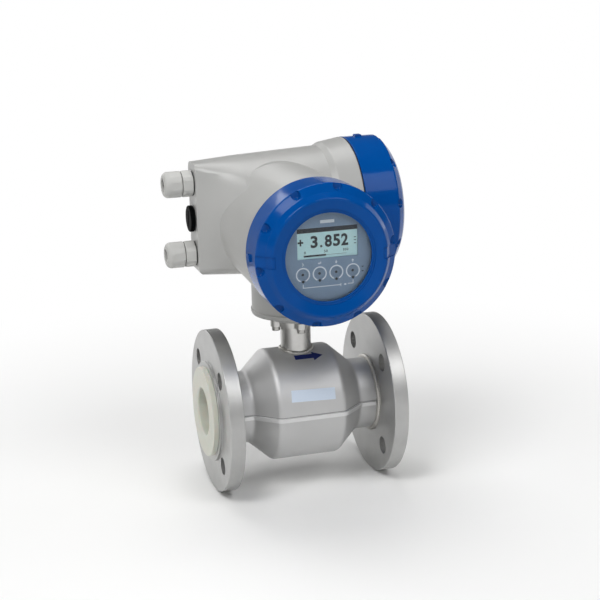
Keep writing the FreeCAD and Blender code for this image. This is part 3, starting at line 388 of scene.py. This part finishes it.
# %% Moulded plastics and rubber
PLASTIC_CLOUD = 9 * MM


def moulded(name, dark, light, roughness, texture, texture_depth, milk=0.0, shine=0.5):
    """Moulded plastic or rubber with its mould's texture."""
    material, tree, shader = new_finish(
        name, Roughness=roughness, IOR=1.5, Specular_IOR_Level=shine,
        Subsurface_Weight=milk, Subsurface_Scale=2 * MM)
    place = add_node(tree, "ShaderNodeTexCoord").outputs["Object"]
    noise = add_node(tree, "ShaderNodeTexNoise", {"Vector": place, "Scale": 1 / texture, "Detail": 2.0})
    clouds = add_node(tree, "ShaderNodeTexNoise", {
        "Vector": place, "Scale": 1 / PLASTIC_CLOUD, "Detail": 3.0})
    tint = add_node(tree, "ShaderNodeMix", {
        0: clouds.outputs["Fac"], COLOUR_A: linear(dark), COLOUR_B: linear(light)}, data_type="RGBA")
    bumps = add_node(tree, "ShaderNodeBump", {
        "Height": noise.outputs["Fac"], "Strength": 0.3, "Distance": texture_depth})
    tree.links.new(tint.outputs[COLOUR_OUT], shader.inputs["Base Color"])
    tree.links.new(bumps.outputs[0], shader.inputs["Normal"])
    return material


print("clouds in plastic:", round(PLASTIC_CLOUD / MM, 1), "mm wide")

# %% [markdown]
# Each plastic takes two shades a little apart, its gloss, the size of its mould texture and how
# deep that is. The film of the display panel and the lenses of its keys are printed and polished
# plastics of nearly the same blue grey. Under the cover's window they get only weak reflections.

# %% Plastics and rubber of this meter
milky_liner = moulded("milky_liner", "c8c9bc", "d2d3c8", 0.4, 1.5 * MM, 0.03 * MM, milk=0.2)
grey_polyamide = moulded("grey_polyamide", "b1b1ae", "bbbbb8", 0.5, 0.7 * MM, 0.04 * MM)
black_polyamide = moulded("black_polyamide", "040505", "070808", 0.5, 0.7 * MM, 0.04 * MM, shine=0.02)
nitrile_rubber = moulded("nitrile_rubber", "18191a", "232425", 0.6, 0.5 * MM, 0.03 * MM)
white_insulator = moulded("white_insulator", "dedad0", "e8e4da", 0.45, 0.6 * MM, 0.02 * MM)
black_resin = moulded("black_resin", "141517", "1e1f21", 0.25, 3 * MM, 0.05 * MM)
black_insert_plastic = moulded("black_insert_plastic", "242628", "2d2f32", 0.5, 0.8 * MM, 0.04 * MM)
green_terminal_plastic = moulded("green_terminal_plastic", "2c6b3b", "357845", 0.4, 0.6 * MM, 0.02 * MM)
green_board = moulded("green_board", "1d4c2c", "27603a", 0.35, 1.2 * MM, 0.04 * MM)
grey_panel_film = moulded("grey_panel_film", "778da8", "7f95b0", 0.55, 0.5 * MM, 0.015 * MM, shine=0.3)
grey_key_lens = moulded("grey_key_lens", "7488a0", "7c90a8", 0.25, 3 * MM, 0.01 * MM, shine=0.3)
print("boards", green_board.name, " panel", grey_panel_film.name, " liner", milky_liner.name)

# %% [markdown]
# ## Display and window
# A liquid crystal display with a faint back light is a pale blue green that glows a little. The
# window in front of it is flat toughened glass with a coating against reflections, so its index
# is set below that of plain glass. A few smears, some 12 mm wide, dull it by a hair.

# %% Glass and liquid crystal
pale_lcd, tree, shader = new_finish(
    "pale_lcd", Roughness=0.3, IOR=1.5, Specular_IOR_Level=0.25, Emission_Strength=0.1)
place = add_node(tree, "ShaderNodeTexCoord").outputs["Object"]
clouds = add_node(tree, "ShaderNodeTexNoise", {"Vector": place, "Scale": 1 / (15 * MM), "Detail": 2.0})
tint = add_node(tree, "ShaderNodeMix", {
    0: clouds.outputs["Fac"], COLOUR_A: linear("b0d2d8"), COLOUR_B: linear("bcdcdf")}, data_type="RGBA")
tree.links.new(tint.outputs[COLOUR_OUT], shader.inputs["Base Color"])
tree.links.new(tint.outputs[COLOUR_OUT], shader.inputs["Emission Color"])

toughened_glass, tree, shader = new_finish(
    "toughened_glass", Base_Color=linear("f7fafa"), IOR=1.3, Transmission_Weight=1.0)
place = add_node(tree, "ShaderNodeTexCoord").outputs["Object"]
smears = add_node(tree, "ShaderNodeTexNoise", {"Vector": place, "Scale": 1 / (12 * MM), "Detail": 3.0})
gloss = add_node(tree, "ShaderNodeMapRange", {
    "Value": smears.outputs["Fac"], "From Min": 0.4, "From Max": 0.8, "To Min": 0.0, "To Max": 0.02})
tree.links.new(gloss.outputs[0], shader.inputs["Roughness"])
print(pale_lcd.name, toughened_glass.name)

# %% [markdown]
# Prints are thin layers of ink. They have the gloss of the film they are printed on and a very
# fine mottle, because ink never covers quite evenly. The plate on the barrel is a pale painted
# foil, so it takes the same recipe.

# %% Inks
def ink(name, dark, light, roughness=0.45):
    """Ink or thin paint with a mottle of 0.8 mm."""
    material, tree, shader = new_finish(name, Roughness=roughness, Specular_IOR_Level=0.25)
    place = add_node(tree, "ShaderNodeTexCoord").outputs["Object"]
    mottle = add_node(tree, "ShaderNodeTexNoise", {"Vector": place, "Scale": 1 / (0.8 * MM), "Detail": 2.0})
    tint = add_node(tree, "ShaderNodeMix", {
        0: mottle.outputs["Fac"], COLOUR_A: linear(dark), COLOUR_B: linear(light)}, data_type="RGBA")
    tree.links.new(tint.outputs[COLOUR_OUT], shader.inputs["Base Color"])
    return material


white_ink = ink("white_ink", "d3dae4", "e2e7ee")
lcd_segment = ink("lcd_segment", "07141f", "0d1c2b", 0.35)
navy_ink = ink("navy_ink", "12205e", "1a2a6e")
dark_sensor_dot = ink("dark_sensor_dot", "1a1d20", "24282c", 0.2)
pale_foil = ink("pale_foil", "cbd8e8", "d5e0ee", 0.5)
print("inks:", white_ink.name, lcd_segment.name, navy_ink.name, dark_sensor_dot.name, pale_foil.name)

# %% [markdown]
# ## Finishes on the solids
# Every solid of the construction model keeps its shape and takes a finish by name.

# %% Put the finishes on
finish_of = {
    turned_stainless: ["inlet_flange", "outlet_flange"],
    blasted_stainless: ["upper_housing_shell", "lower_housing_shell"],
    drawn_stainless: ["measuring_tube", "neck_tube", "neck_flange"],
    screw_steel: ["neck_screws", "electrode_springs", "electrode_nuts", "window_ring",
                  "terminal_screws", "carrier_screws"],
    soft_iron: ["upper_pole_shoe", "lower_pole_shoe", "return_yoke", "power_transformer"],
    copper_winding: ["upper_field_coil", "lower_field_coil"],
    electrode_alloy: ["front_electrode", "rear_electrode"],
    grey_powder_coat: ["converter_housing"],
    blue_powder_coat: ["front_cover", "terminal_cover"],
    milky_liner: ["liner"],
    grey_polyamide: ["upper_gland_body", "lower_gland_body", "upper_dome_nut", "lower_dome_nut"],
    black_polyamide: ["blanking_plug"],
    nitrile_rubber: ["neck_gasket", "front_cover_seal", "terminal_cover_seal", "upper_gland_seal",
                     "lower_gland_seal", "upper_gland_insert", "lower_gland_insert", "blanking_plug_seal"],
    white_insulator: ["electrode_bushes"],
    black_resin: ["lead_seal"],
    black_insert_plastic: ["electronics_insert", "terminal_carrier"],
    green_terminal_plastic: ["terminal_strips"],
    green_board: ["display_board", "signal_board", "power_board"],
    grey_panel_film: ["display_panel"],
    grey_key_lens: ["key_lenses"],
    pale_lcd: ["lcd_module"],
    toughened_glass: ["window_glass"],
}
for material, names in finish_of.items():
    for name in names:
        nodes[name].data.materials.clear()
        nodes[name].data.materials.append(material)
bare = set(nodes) - {name for names in finish_of.values() for name in names}
print("solids without a finish:", sorted(bare))

# %% [markdown]
# ## Added pieces
# What follows adds small pieces to the solids. Each one rides on the body it sits on, so that it
# moves with it.

# %% A piece on a body
def add_piece(name, mesh, material, body):
    """Puts a mesh into the scene as a piece that rides on a body."""
    mesh.materials.append(material)
    piece = bpy.data.objects.new(name, mesh)
    bpy.context.scene.collection.objects.link(piece)
    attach(piece, body)
    return piece


# %% [markdown]
# ## Weld beads
# The tube, neck and flanges are joined by hand with a torch. Each dip of the filler wire leaves a
# small scale on the last one, so a bead looks like a row of fallen coins. The solids have the
# plain fillet. Here a round bead with one swelling for each dip lies over it: slices along the
# seam, each a ring of points that grows and shrinks with the dip.

# %% A bead of weld metal
DIP = 2.2 * MM             # from one dip of the wire to the next
RINGS, SIDES = 7, 12       # slices in each dip, and corners of a slice
THIN, SWELL = 0.86, 0.2    # the bead between two dips, and what a dip adds
ASIDE = Vector((0.3, 0.2, 1.0))     # runs along no seam, so that a slice can be set up from it


def weld_bead(name, way, length, thickness):
    """A closed bead along way(share), where share runs from 0 to 1."""
    slices = round(length / DIP) * RINGS
    mesh = bpy.data.meshes.new(name)
    bead = bmesh.new()
    loops = []
    for i in range(slices):
        here = way(i / slices)
        along = (way((i + 0.5) / slices) - way((i - 0.5) / slices)).normalized()
        side = along.cross(ASIDE).normalized()
        over = side.cross(along)
        dip = (i % RINGS) / RINGS
        size = thickness * (THIN + SWELL * math.sqrt(1 - dip ** 2))
        loop = []
        for k in range(SIDES):
            a = 2 * math.pi * k / SIDES
            loop.append(bead.verts.new(here + (side * math.cos(a) + over * math.sin(a)) * size))
        loops.append(loop)
    for one, two in zip(loops, loops[1:] + loops[:1]):
        for k in range(SIDES):
            bead.faces.new((one[k - 1], one[k], two[k], two[k - 1])).smooth = True
    bmesh.ops.recalc_face_normals(bead, faces=bead.faces)
    bead.to_mesh(mesh)
    bead.free()
    return add_piece(name, mesh, weld_metal, "meter_body")


print("slices on 10 mm of seam:", round(10 * MM / DIP * RINGS))

# %% [markdown]
# Two seams are circles round the pipe, where the shells end at the flanges. The third runs round
# the neck over the curved barrel, so its height follows from where it is on that curve.

# %% The three seams
BARREL_R, END_NECK_R, NECK_R = 57.0 * MM, 36.5 * MM, 15.5 * MM
FLANGE_BEAD, NECK_BEAD = 2.6 * MM, 1.6 * MM
OFF_SHELL, OFF_NECK, OFF_BARREL = 0.8 * MM, 0.9 * MM, 0.6 * MM   # the bead's middle from each face


def flange_way(x):
    """A circle round the pipe, a little outside the shells' ends."""
    reach = END_NECK_R + OFF_SHELL
    return lambda share: Vector(
        (x, reach * math.cos(2 * math.pi * share), reach * math.sin(2 * math.pi * share)))


def neck_way(share):
    """Where the neck meets the round barrel, a little outside both."""
    x = (NECK_R + OFF_NECK) * math.cos(2 * math.pi * share)
    y = (NECK_R + OFF_NECK) * math.sin(2 * math.pi * share)
    return Vector((x, y, math.sqrt((BARREL_R + OFF_BARREL) ** 2 - y ** 2)))


weld_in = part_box("outlet_flange")[0].x + FLANGE_BEAD
welds = [
    weld_bead("inlet_weld", flange_way(-weld_in), 2 * math.pi * END_NECK_R, FLANGE_BEAD),
    weld_bead("outlet_weld", flange_way(weld_in), 2 * math.pi * END_NECK_R, FLANGE_BEAD),
    weld_bead("neck_weld", neck_way, 2 * math.pi * NECK_R, NECK_BEAD),
]
print("weld dips:", [len(w.data.vertices) // (RINGS * SIDES) for w in welds])

# %% [markdown]
# ## Threads
# Both covers screw on with ten turns of a 2 mm thread, and the dome nuts with seven turns of a
# 1.5 mm one. The solids have plain spigots there. A thread is one ridge that winds along the
# spigot and runs in and out over half a turn. Each slice of the ridge has four points: two feet
# just under the spigot's face, and two that make a flat crest.

# %% One thread
THREAD_STEPS = 72          # slices in a turn
CREST_HEIGHT = 0.22 * MM
FOOT_DEPTH = 0.04 * MM     # so that no gap shows under the ridge
FOOT_SHARE, CREST_SHARE = 0.45, 0.12    # of the pitch, from the ridge's middle


def thread(name, joint, radius, pitch, low, high, material, slot):
    """A right-handed ridge round a joint's axis, from low to high above its foot."""
    foot, outward = Vector(joint["pos_m"]), Vector(joint["axis"])
    sideways = Vector((0.0, 0.0, 1.0))
    third = outward.cross(sideways)
    steps = int((high - low) / pitch * THREAD_STEPS)
    points, faces = [], []
    for i in range(steps + 1):
        angle = 2 * math.pi * i / THREAD_STEPS
        spoke = sideways * math.cos(angle) + third * math.sin(angle)
        crest = CREST_HEIGHT * min(1.0, 2 * i / THREAD_STEPS, 2 * (steps - i) / THREAD_STEPS)
        middle = foot + outward * (low + pitch * i / THREAD_STEPS)
        for offset, rise in ((-FOOT_SHARE, -FOOT_DEPTH), (-CREST_SHARE, crest),
                             (CREST_SHARE, crest), (FOOT_SHARE, -FOOT_DEPTH)):
            points.append(middle + outward * (offset * pitch) + spoke * (radius + rise))
        if i:
            new, old = 4 * i, 4 * (i - 1)
            faces += [(old + k, new + k, new + k + 1, old + k + 1) for k in range(3)]
    mesh = bpy.data.meshes.new(name)
    mesh.from_pydata(points, [], faces)
    return add_piece(name, mesh, material, "meter_body")


print("ridge slices in a turn:", THREAD_STEPS)

# %% [markdown]
# The joints of the frame already say where each cover and nut turns, and about which axis. So a
# thread only needs the radius of its spigot, its pitch and how far along the spigot it reaches.

# %% The four threads
SPIGOT_R, COVER_PITCH, COVER_THREAD = 63.5 * MM, 2 * MM, (3.5 * MM, 18 * MM)
GLAND_NECK_R, NUT_PITCH, NUT_THREAD = 9.4 * MM, 1.5 * MM, (12.2 * MM, 20.6 * MM)

joints = {joint["name"]: joint for joint in frame["joints"]}
threads = []
for cover in ("front", "terminal"):
    threads.append(thread(
        f"{cover}_spigot_thread", joints[f"{cover}_cover_turn"], SPIGOT_R, COVER_PITCH, *COVER_THREAD,
        grey_powder_coat, "housing_paint"))
for gland in ("upper", "lower"):
    threads.append(thread(
        f"{gland}_gland_thread", joints[f"{gland}_nut_turn"], GLAND_NECK_R, NUT_PITCH, *NUT_THREAD,
        grey_polyamide, "gland_plastic"))
print("threads:", [ridge.name for ridge in threads])

# %% [markdown]
# ## Prints on the barrel
# A navy arrow beside the neck shows which way the water flows, and a bare plate of thin foil is
# stuck on the barrel's front. Both lie on a round surface. They are drawn flat first, in mm along
# the pipe and round the barrel, then cut into strips and rolled on.

# %% Rolling a sheet onto the barrel
QUARTER_ROUND = 90         # strips of 1 mm, which reach from the front to the top of the barrel


def rolled(name, outlines, lift, material):
    """Flat outlines of (along the pipe, round the barrel) in mm, rolled onto the barrel."""
    sheet = bmesh.new()
    for outline in outlines:
        sheet.faces.new([sheet.verts.new((x * MM, arc * MM, 0)) for x, arc in outline])
    for strip in range(QUARTER_ROUND):
        whole = list(sheet.verts) + list(sheet.edges) + list(sheet.faces)
        bmesh.ops.bisect_plane(
            sheet, geom=whole, plane_co=(0, strip * MM, 0), plane_no=(0, 1, 0), dist=1e-7)
    for vert in sheet.verts:
        angle = vert.co.y / BARREL_R
        reach = BARREL_R + lift
        vert.co = (vert.co.x, -reach * math.cos(angle), reach * math.sin(angle))
    mesh = bpy.data.meshes.new(name)
    sheet.to_mesh(mesh)
    sheet.free()
    return add_piece(name, mesh, material, "meter_body")


print("strips on a quarter of the barrel:", round(BARREL_R * math.pi / 2 / MM))

# %% [markdown]
# The arrow has a shaft 6.8 mm wide and a head twice that. It is ink, so it has no thickness. The
# plate is set a little askew, as a hand-stuck foil is, and a Solidify modifier gives it its edge.

# %% Flow arrow and plate
arrow = rolled("flow_arrow", [[
    (-8.0, 63.8), (11.0, 63.8), (11.0, 60.4), (21.5, 67.2), (11.0, 74.0), (11.0, 70.6), (-8.0, 70.6)]],
    0.03 * MM, navy_ink)
plate = rolled("bare_plate", [[
    (-21.6, 17.3), (23.9, 15.7), (24.6, 27.6), (-20.9, 29.2)]],
    0.08 * MM, pale_foil)
foil = plate.modifiers.new("foil", "SOLIDIFY")
foil.thickness = 0.25 * MM
print("arrow faces:", len(arrow.data.polygons), " plate faces:", len(plate.data.polygons))

# %% [markdown]
# ## What the display shows
# Prints are flat faces a twentieth of a millimetre in front of what they are printed on. They
# are made of a few simple outlines: bars, arcs in short pieces, and figures.

# %% Flat shapes
INK_GAP = 0.05 * MM


def printed(name, outlines, depth, material):
    """Flat ink on the display. Outlines are lists of (x, z) in metres, counterclockwise."""
    points, faces = [], []
    for outline in outlines:
        faces.append(list(range(len(points), len(points) + len(outline))))
        points += [(x, depth, z) for x, z in outline]
    mesh = bpy.data.meshes.new(name)
    mesh.from_pydata(points, [], faces)
    return add_piece(name, mesh, material, "meter_body")


def bar(x, z, width, height):
    """A rectangle round its centre."""
    w, h = width / 2, height / 2
    return [(x - w, z - h), (x + w, z - h), (x + w, z + h), (x - w, z + h)]


def arc(x, z, inner, outer, start, end, steps=48):
    """A band of short pieces from one angle to another."""
    angles = [math.radians(start + (end - start) * k / steps) for k in range(steps + 1)]
    return [[(x + r * math.cos(a), z + r * math.sin(a))
             for r, a in ((inner, one), (outer, one), (outer, two), (inner, two))]
            for one, two in zip(angles, angles[1:])]


print("pieces in a full arc:", len(arc(0, 0, 1, 2, 0, 360)))

# %% [markdown]
# The figures come from Blender's own font. Each character is turned into triangles and then
# stretched to fill its box, so that all the figures have the width and height that a display
# gives them. The font's offset makes them bolder.

# %% Figures
def figure(character, left, low, width, height, boldness):
    """A character's outline as triangles that fill a box of that size."""
    curve = bpy.data.curves.new("figure", "FONT")
    curve.body = character
    curve.offset = boldness
    writer = bpy.data.objects.new("figure", curve)
    bpy.context.scene.collection.objects.link(writer)
    written = writer.evaluated_get(bpy.context.evaluated_depsgraph_get())
    mesh = bpy.data.meshes.new_from_object(written)
    bpy.data.objects.remove(writer)
    xs = [v.co.x for v in mesh.vertices]
    ys = [v.co.y for v in mesh.vertices]
    spots = [(left + width * (v.co.x - min(xs)) / (max(xs) - min(xs)),
              low + height * (v.co.y - min(ys)) / (max(ys) - min(ys))) for v in mesh.vertices]
    outlines = [[spots[k] for k in face.vertices] for face in mesh.polygons]
    bpy.data.meshes.remove(mesh)
    return outlines


print("triangles in an 8:", len(figure("8", 0, 0, 1, 1, 0.02)))

# %% [markdown]
# The liquid crystal shows a dark header bar, the flow in large bold figures, three short lines for
# a unit and a bar graph over a scale. The panel covers the display's edges, so everything is
# placed from the corner of the part that stays open.

# %% Liquid crystal display
lcd_low, lcd_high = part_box("lcd_module")
LCD_MARGIN = 1.6 * MM                 # what the panel covers of the display on each side
lcd_left, lcd_right = lcd_low.x + LCD_MARGIN, lcd_high.x - LCD_MARGIN
lcd_foot, lcd_head = lcd_low.z + LCD_MARGIN, lcd_high.z - LCD_MARGIN
HEADER = 4.7 * MM
FIGURES = (                           # character, left, foot, width, height in mm, and boldness
    ("+", 0.9, 12.9, 5.6, 6.2, 0.035), ("3", 13.6, 10.1, 6.9, 11.6, 0.035),
    (".", 22.7, 10.1, 2.4, 2.4, 0.0), ("8", 27.5, 10.1, 6.9, 11.6, 0.035),
    ("5", 35.6, 10.1, 6.9, 11.6, 0.035), ("2", 43.6, 10.1, 6.9, 11.6, 0.035),
    ("0", 7.0, 5.0, 1.7, 2.5, 0.02),
    ("5", 26.5, 5.0, 1.6, 2.5, 0.02), ("0", 28.5, 5.0, 1.7, 2.5, 0.02),
    ("1", 45.5, 5.0, 0.6, 2.5, 0.0), ("0", 46.7, 5.0, 1.7, 2.5, 0.02), ("0", 48.8, 5.0, 1.7, 2.5, 0.02))
BARS = (                              # the unit's three lines, the graph and its axis, in mm
    (57.2, 17.3, 2.2, 0.7), (57.2, 14.5, 2.2, 0.7), (57.2, 11.5, 2.2, 0.7),
    (17.5, 2.7, 21.8, 1.7), (38.6, 2.7, 20.4, 0.3))

lcd_middle = (lcd_left + lcd_right) / 2
dark_parts = [bar(lcd_middle, lcd_head - HEADER / 2, lcd_right - lcd_left, HEADER)]
for character, start, low, width, height, boldness in FIGURES:
    dark_parts += figure(
        character, lcd_left + start * MM, lcd_foot + low * MM, width * MM, height * MM, boldness)
for across, height, length, thickness in BARS:
    dark_parts.append(
        bar(lcd_left + across * MM, lcd_foot + height * MM, length * MM, thickness * MM))
printed("lcd_segments", dark_parts, lcd_low.y - INK_GAP, lcd_segment)
window = (lcd_right - lcd_left, lcd_head - lcd_foot)
print("display window:", [round(side / MM, 1) for side in window], "mm")

# %% [markdown]
# ## Prints on the display panel
# Four optical keys work through the closed glass. Each has a white ring that is open at the
# bottom, where a small infrared window sits. The light bar above the display stands in for a name.

# %% Light bar and key rings
panel_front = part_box("display_panel")[0].y - INK_GAP
keys_low, keys_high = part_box("key_lenses")
KEYS, LENS_R = 4, 4.6 * MM
RING_IN, RING_OUT = 5.75 * MM, 6.95 * MM
RING_START, RING_END = -68, 248       # degrees, from the right and over the top
EYE_R = 1.35 * MM
PIN = 0.0001 * MM                     # an arc from here outwards is a full disc
key_z = (keys_low.z + keys_high.z) / 2
first, last = keys_low.x + LENS_R, keys_high.x - LENS_R
key_places = [first + (last - first) * k / (KEYS - 1) for k in range(KEYS)]

white_parts = [bar(lcd_middle, lcd_head + 5.4 * MM, 13.8 * MM, 3.0 * MM)]
dark_dots = []
for x in key_places:
    white_parts += arc(x, key_z, RING_IN, RING_OUT, RING_START, RING_END)
    dark_dots += arc(x, key_z - 6.6 * MM, PIN, EYE_R, 0, 360, 20)
print("keys at x =", [round(x / MM, 1) for x in key_places])

# %% [markdown]
# Above each ring is a symbol for what the key does: go in, enter, down and up. They are plain
# arrows of two or three outlines, drawn in mm round their own centre.

# %% Key symbols
GO_IN = [
    [(-0.9, -1.5), (-0.1, -1.5), (1.0, 0.0), (0.2, 0.0)],
    [(0.2, 0.0), (1.0, 0.0), (-0.1, 1.5), (-0.9, 1.5)]]
ENTER = [
    [(-1.6, 0.0), (-0.2, -1.2), (-0.2, 1.2)],
    [(-0.2, -0.35), (1.6, -0.35), (1.6, 0.35), (-0.2, 0.35)],
    [(0.9, 0.35), (1.6, 0.35), (1.6, 1.6), (0.9, 1.6)]]
DOWN = [
    [(0.0, -1.6), (1.4, 0.1), (-1.4, 0.1)],
    [(-0.4, 0.1), (0.4, 0.1), (0.4, 1.6), (-0.4, 1.6)]]
UP = [
    [(-1.4, -0.1), (1.4, -0.1), (0.0, 1.6)],
    [(-0.4, -1.6), (0.4, -1.6), (0.4, -0.1), (-0.4, -0.1)]]

above = key_z + 9.9 * MM
for x, symbol in zip(key_places, (GO_IN, ENTER, DOWN, UP)):
    white_parts += [[(x + u * MM, above + v * MM) for u, v in outline] for outline in symbol]
print("white outlines so far:", len(white_parts))

# %% [markdown]
# A bracket under the keys shows which two are held together for a reset. It has a gap with a small
# block in it. To the right of the keys are two small dark windows of the infrared service port.

# %% Bracket and the panel's print
LINE = 0.75 * MM
low_line = key_z - 12.6 * MM
break_at = first + 37.0 * MM
white_parts += [
    bar(first, low_line + 1.5 * MM, LINE, 3.0 * MM + LINE),
    bar((first + break_at) / 2, low_line, break_at - first, LINE),
    bar(break_at, low_line, LINE, 3.0 * MM),
    bar(break_at + 4.4 * MM, low_line, 2.0 * MM, 1.7 * MM),
    bar((break_at + 7 * MM + last) / 2, low_line + 0.4 * MM, last - break_at - 7 * MM, LINE),
    bar(last, low_line + 1.9 * MM, LINE, 3.0 * MM + LINE),
]
printed("panel_print", white_parts, panel_front, white_ink)
dark_dots += [bar(last + 9.7 * MM, key_z + 3.1 * MM, 1.9 * MM, 1.0 * MM),
              bar(last + 9.7 * MM, key_z - 1.3 * MM, 1.9 * MM, 1.0 * MM)]
printed("sensor_windows", dark_dots, panel_front, dark_sensor_dot)
print("bracket from", round(first / MM, 1), "to", round(last / MM, 1), "mm")

# %% [markdown]
# Each key has its own light sensor, which shows through the lens as a dark pupil.

# %% Sensors of the keys
PUPIL_R = 1.3 * MM
pupils = []
for x in key_places:
    pupils += arc(x, key_z, PIN, PUPIL_R, 0, 360, 20)
printed("key_sensors", pupils, keys_low.y - INK_GAP, dark_sensor_dot)
print("sensors:", KEYS)
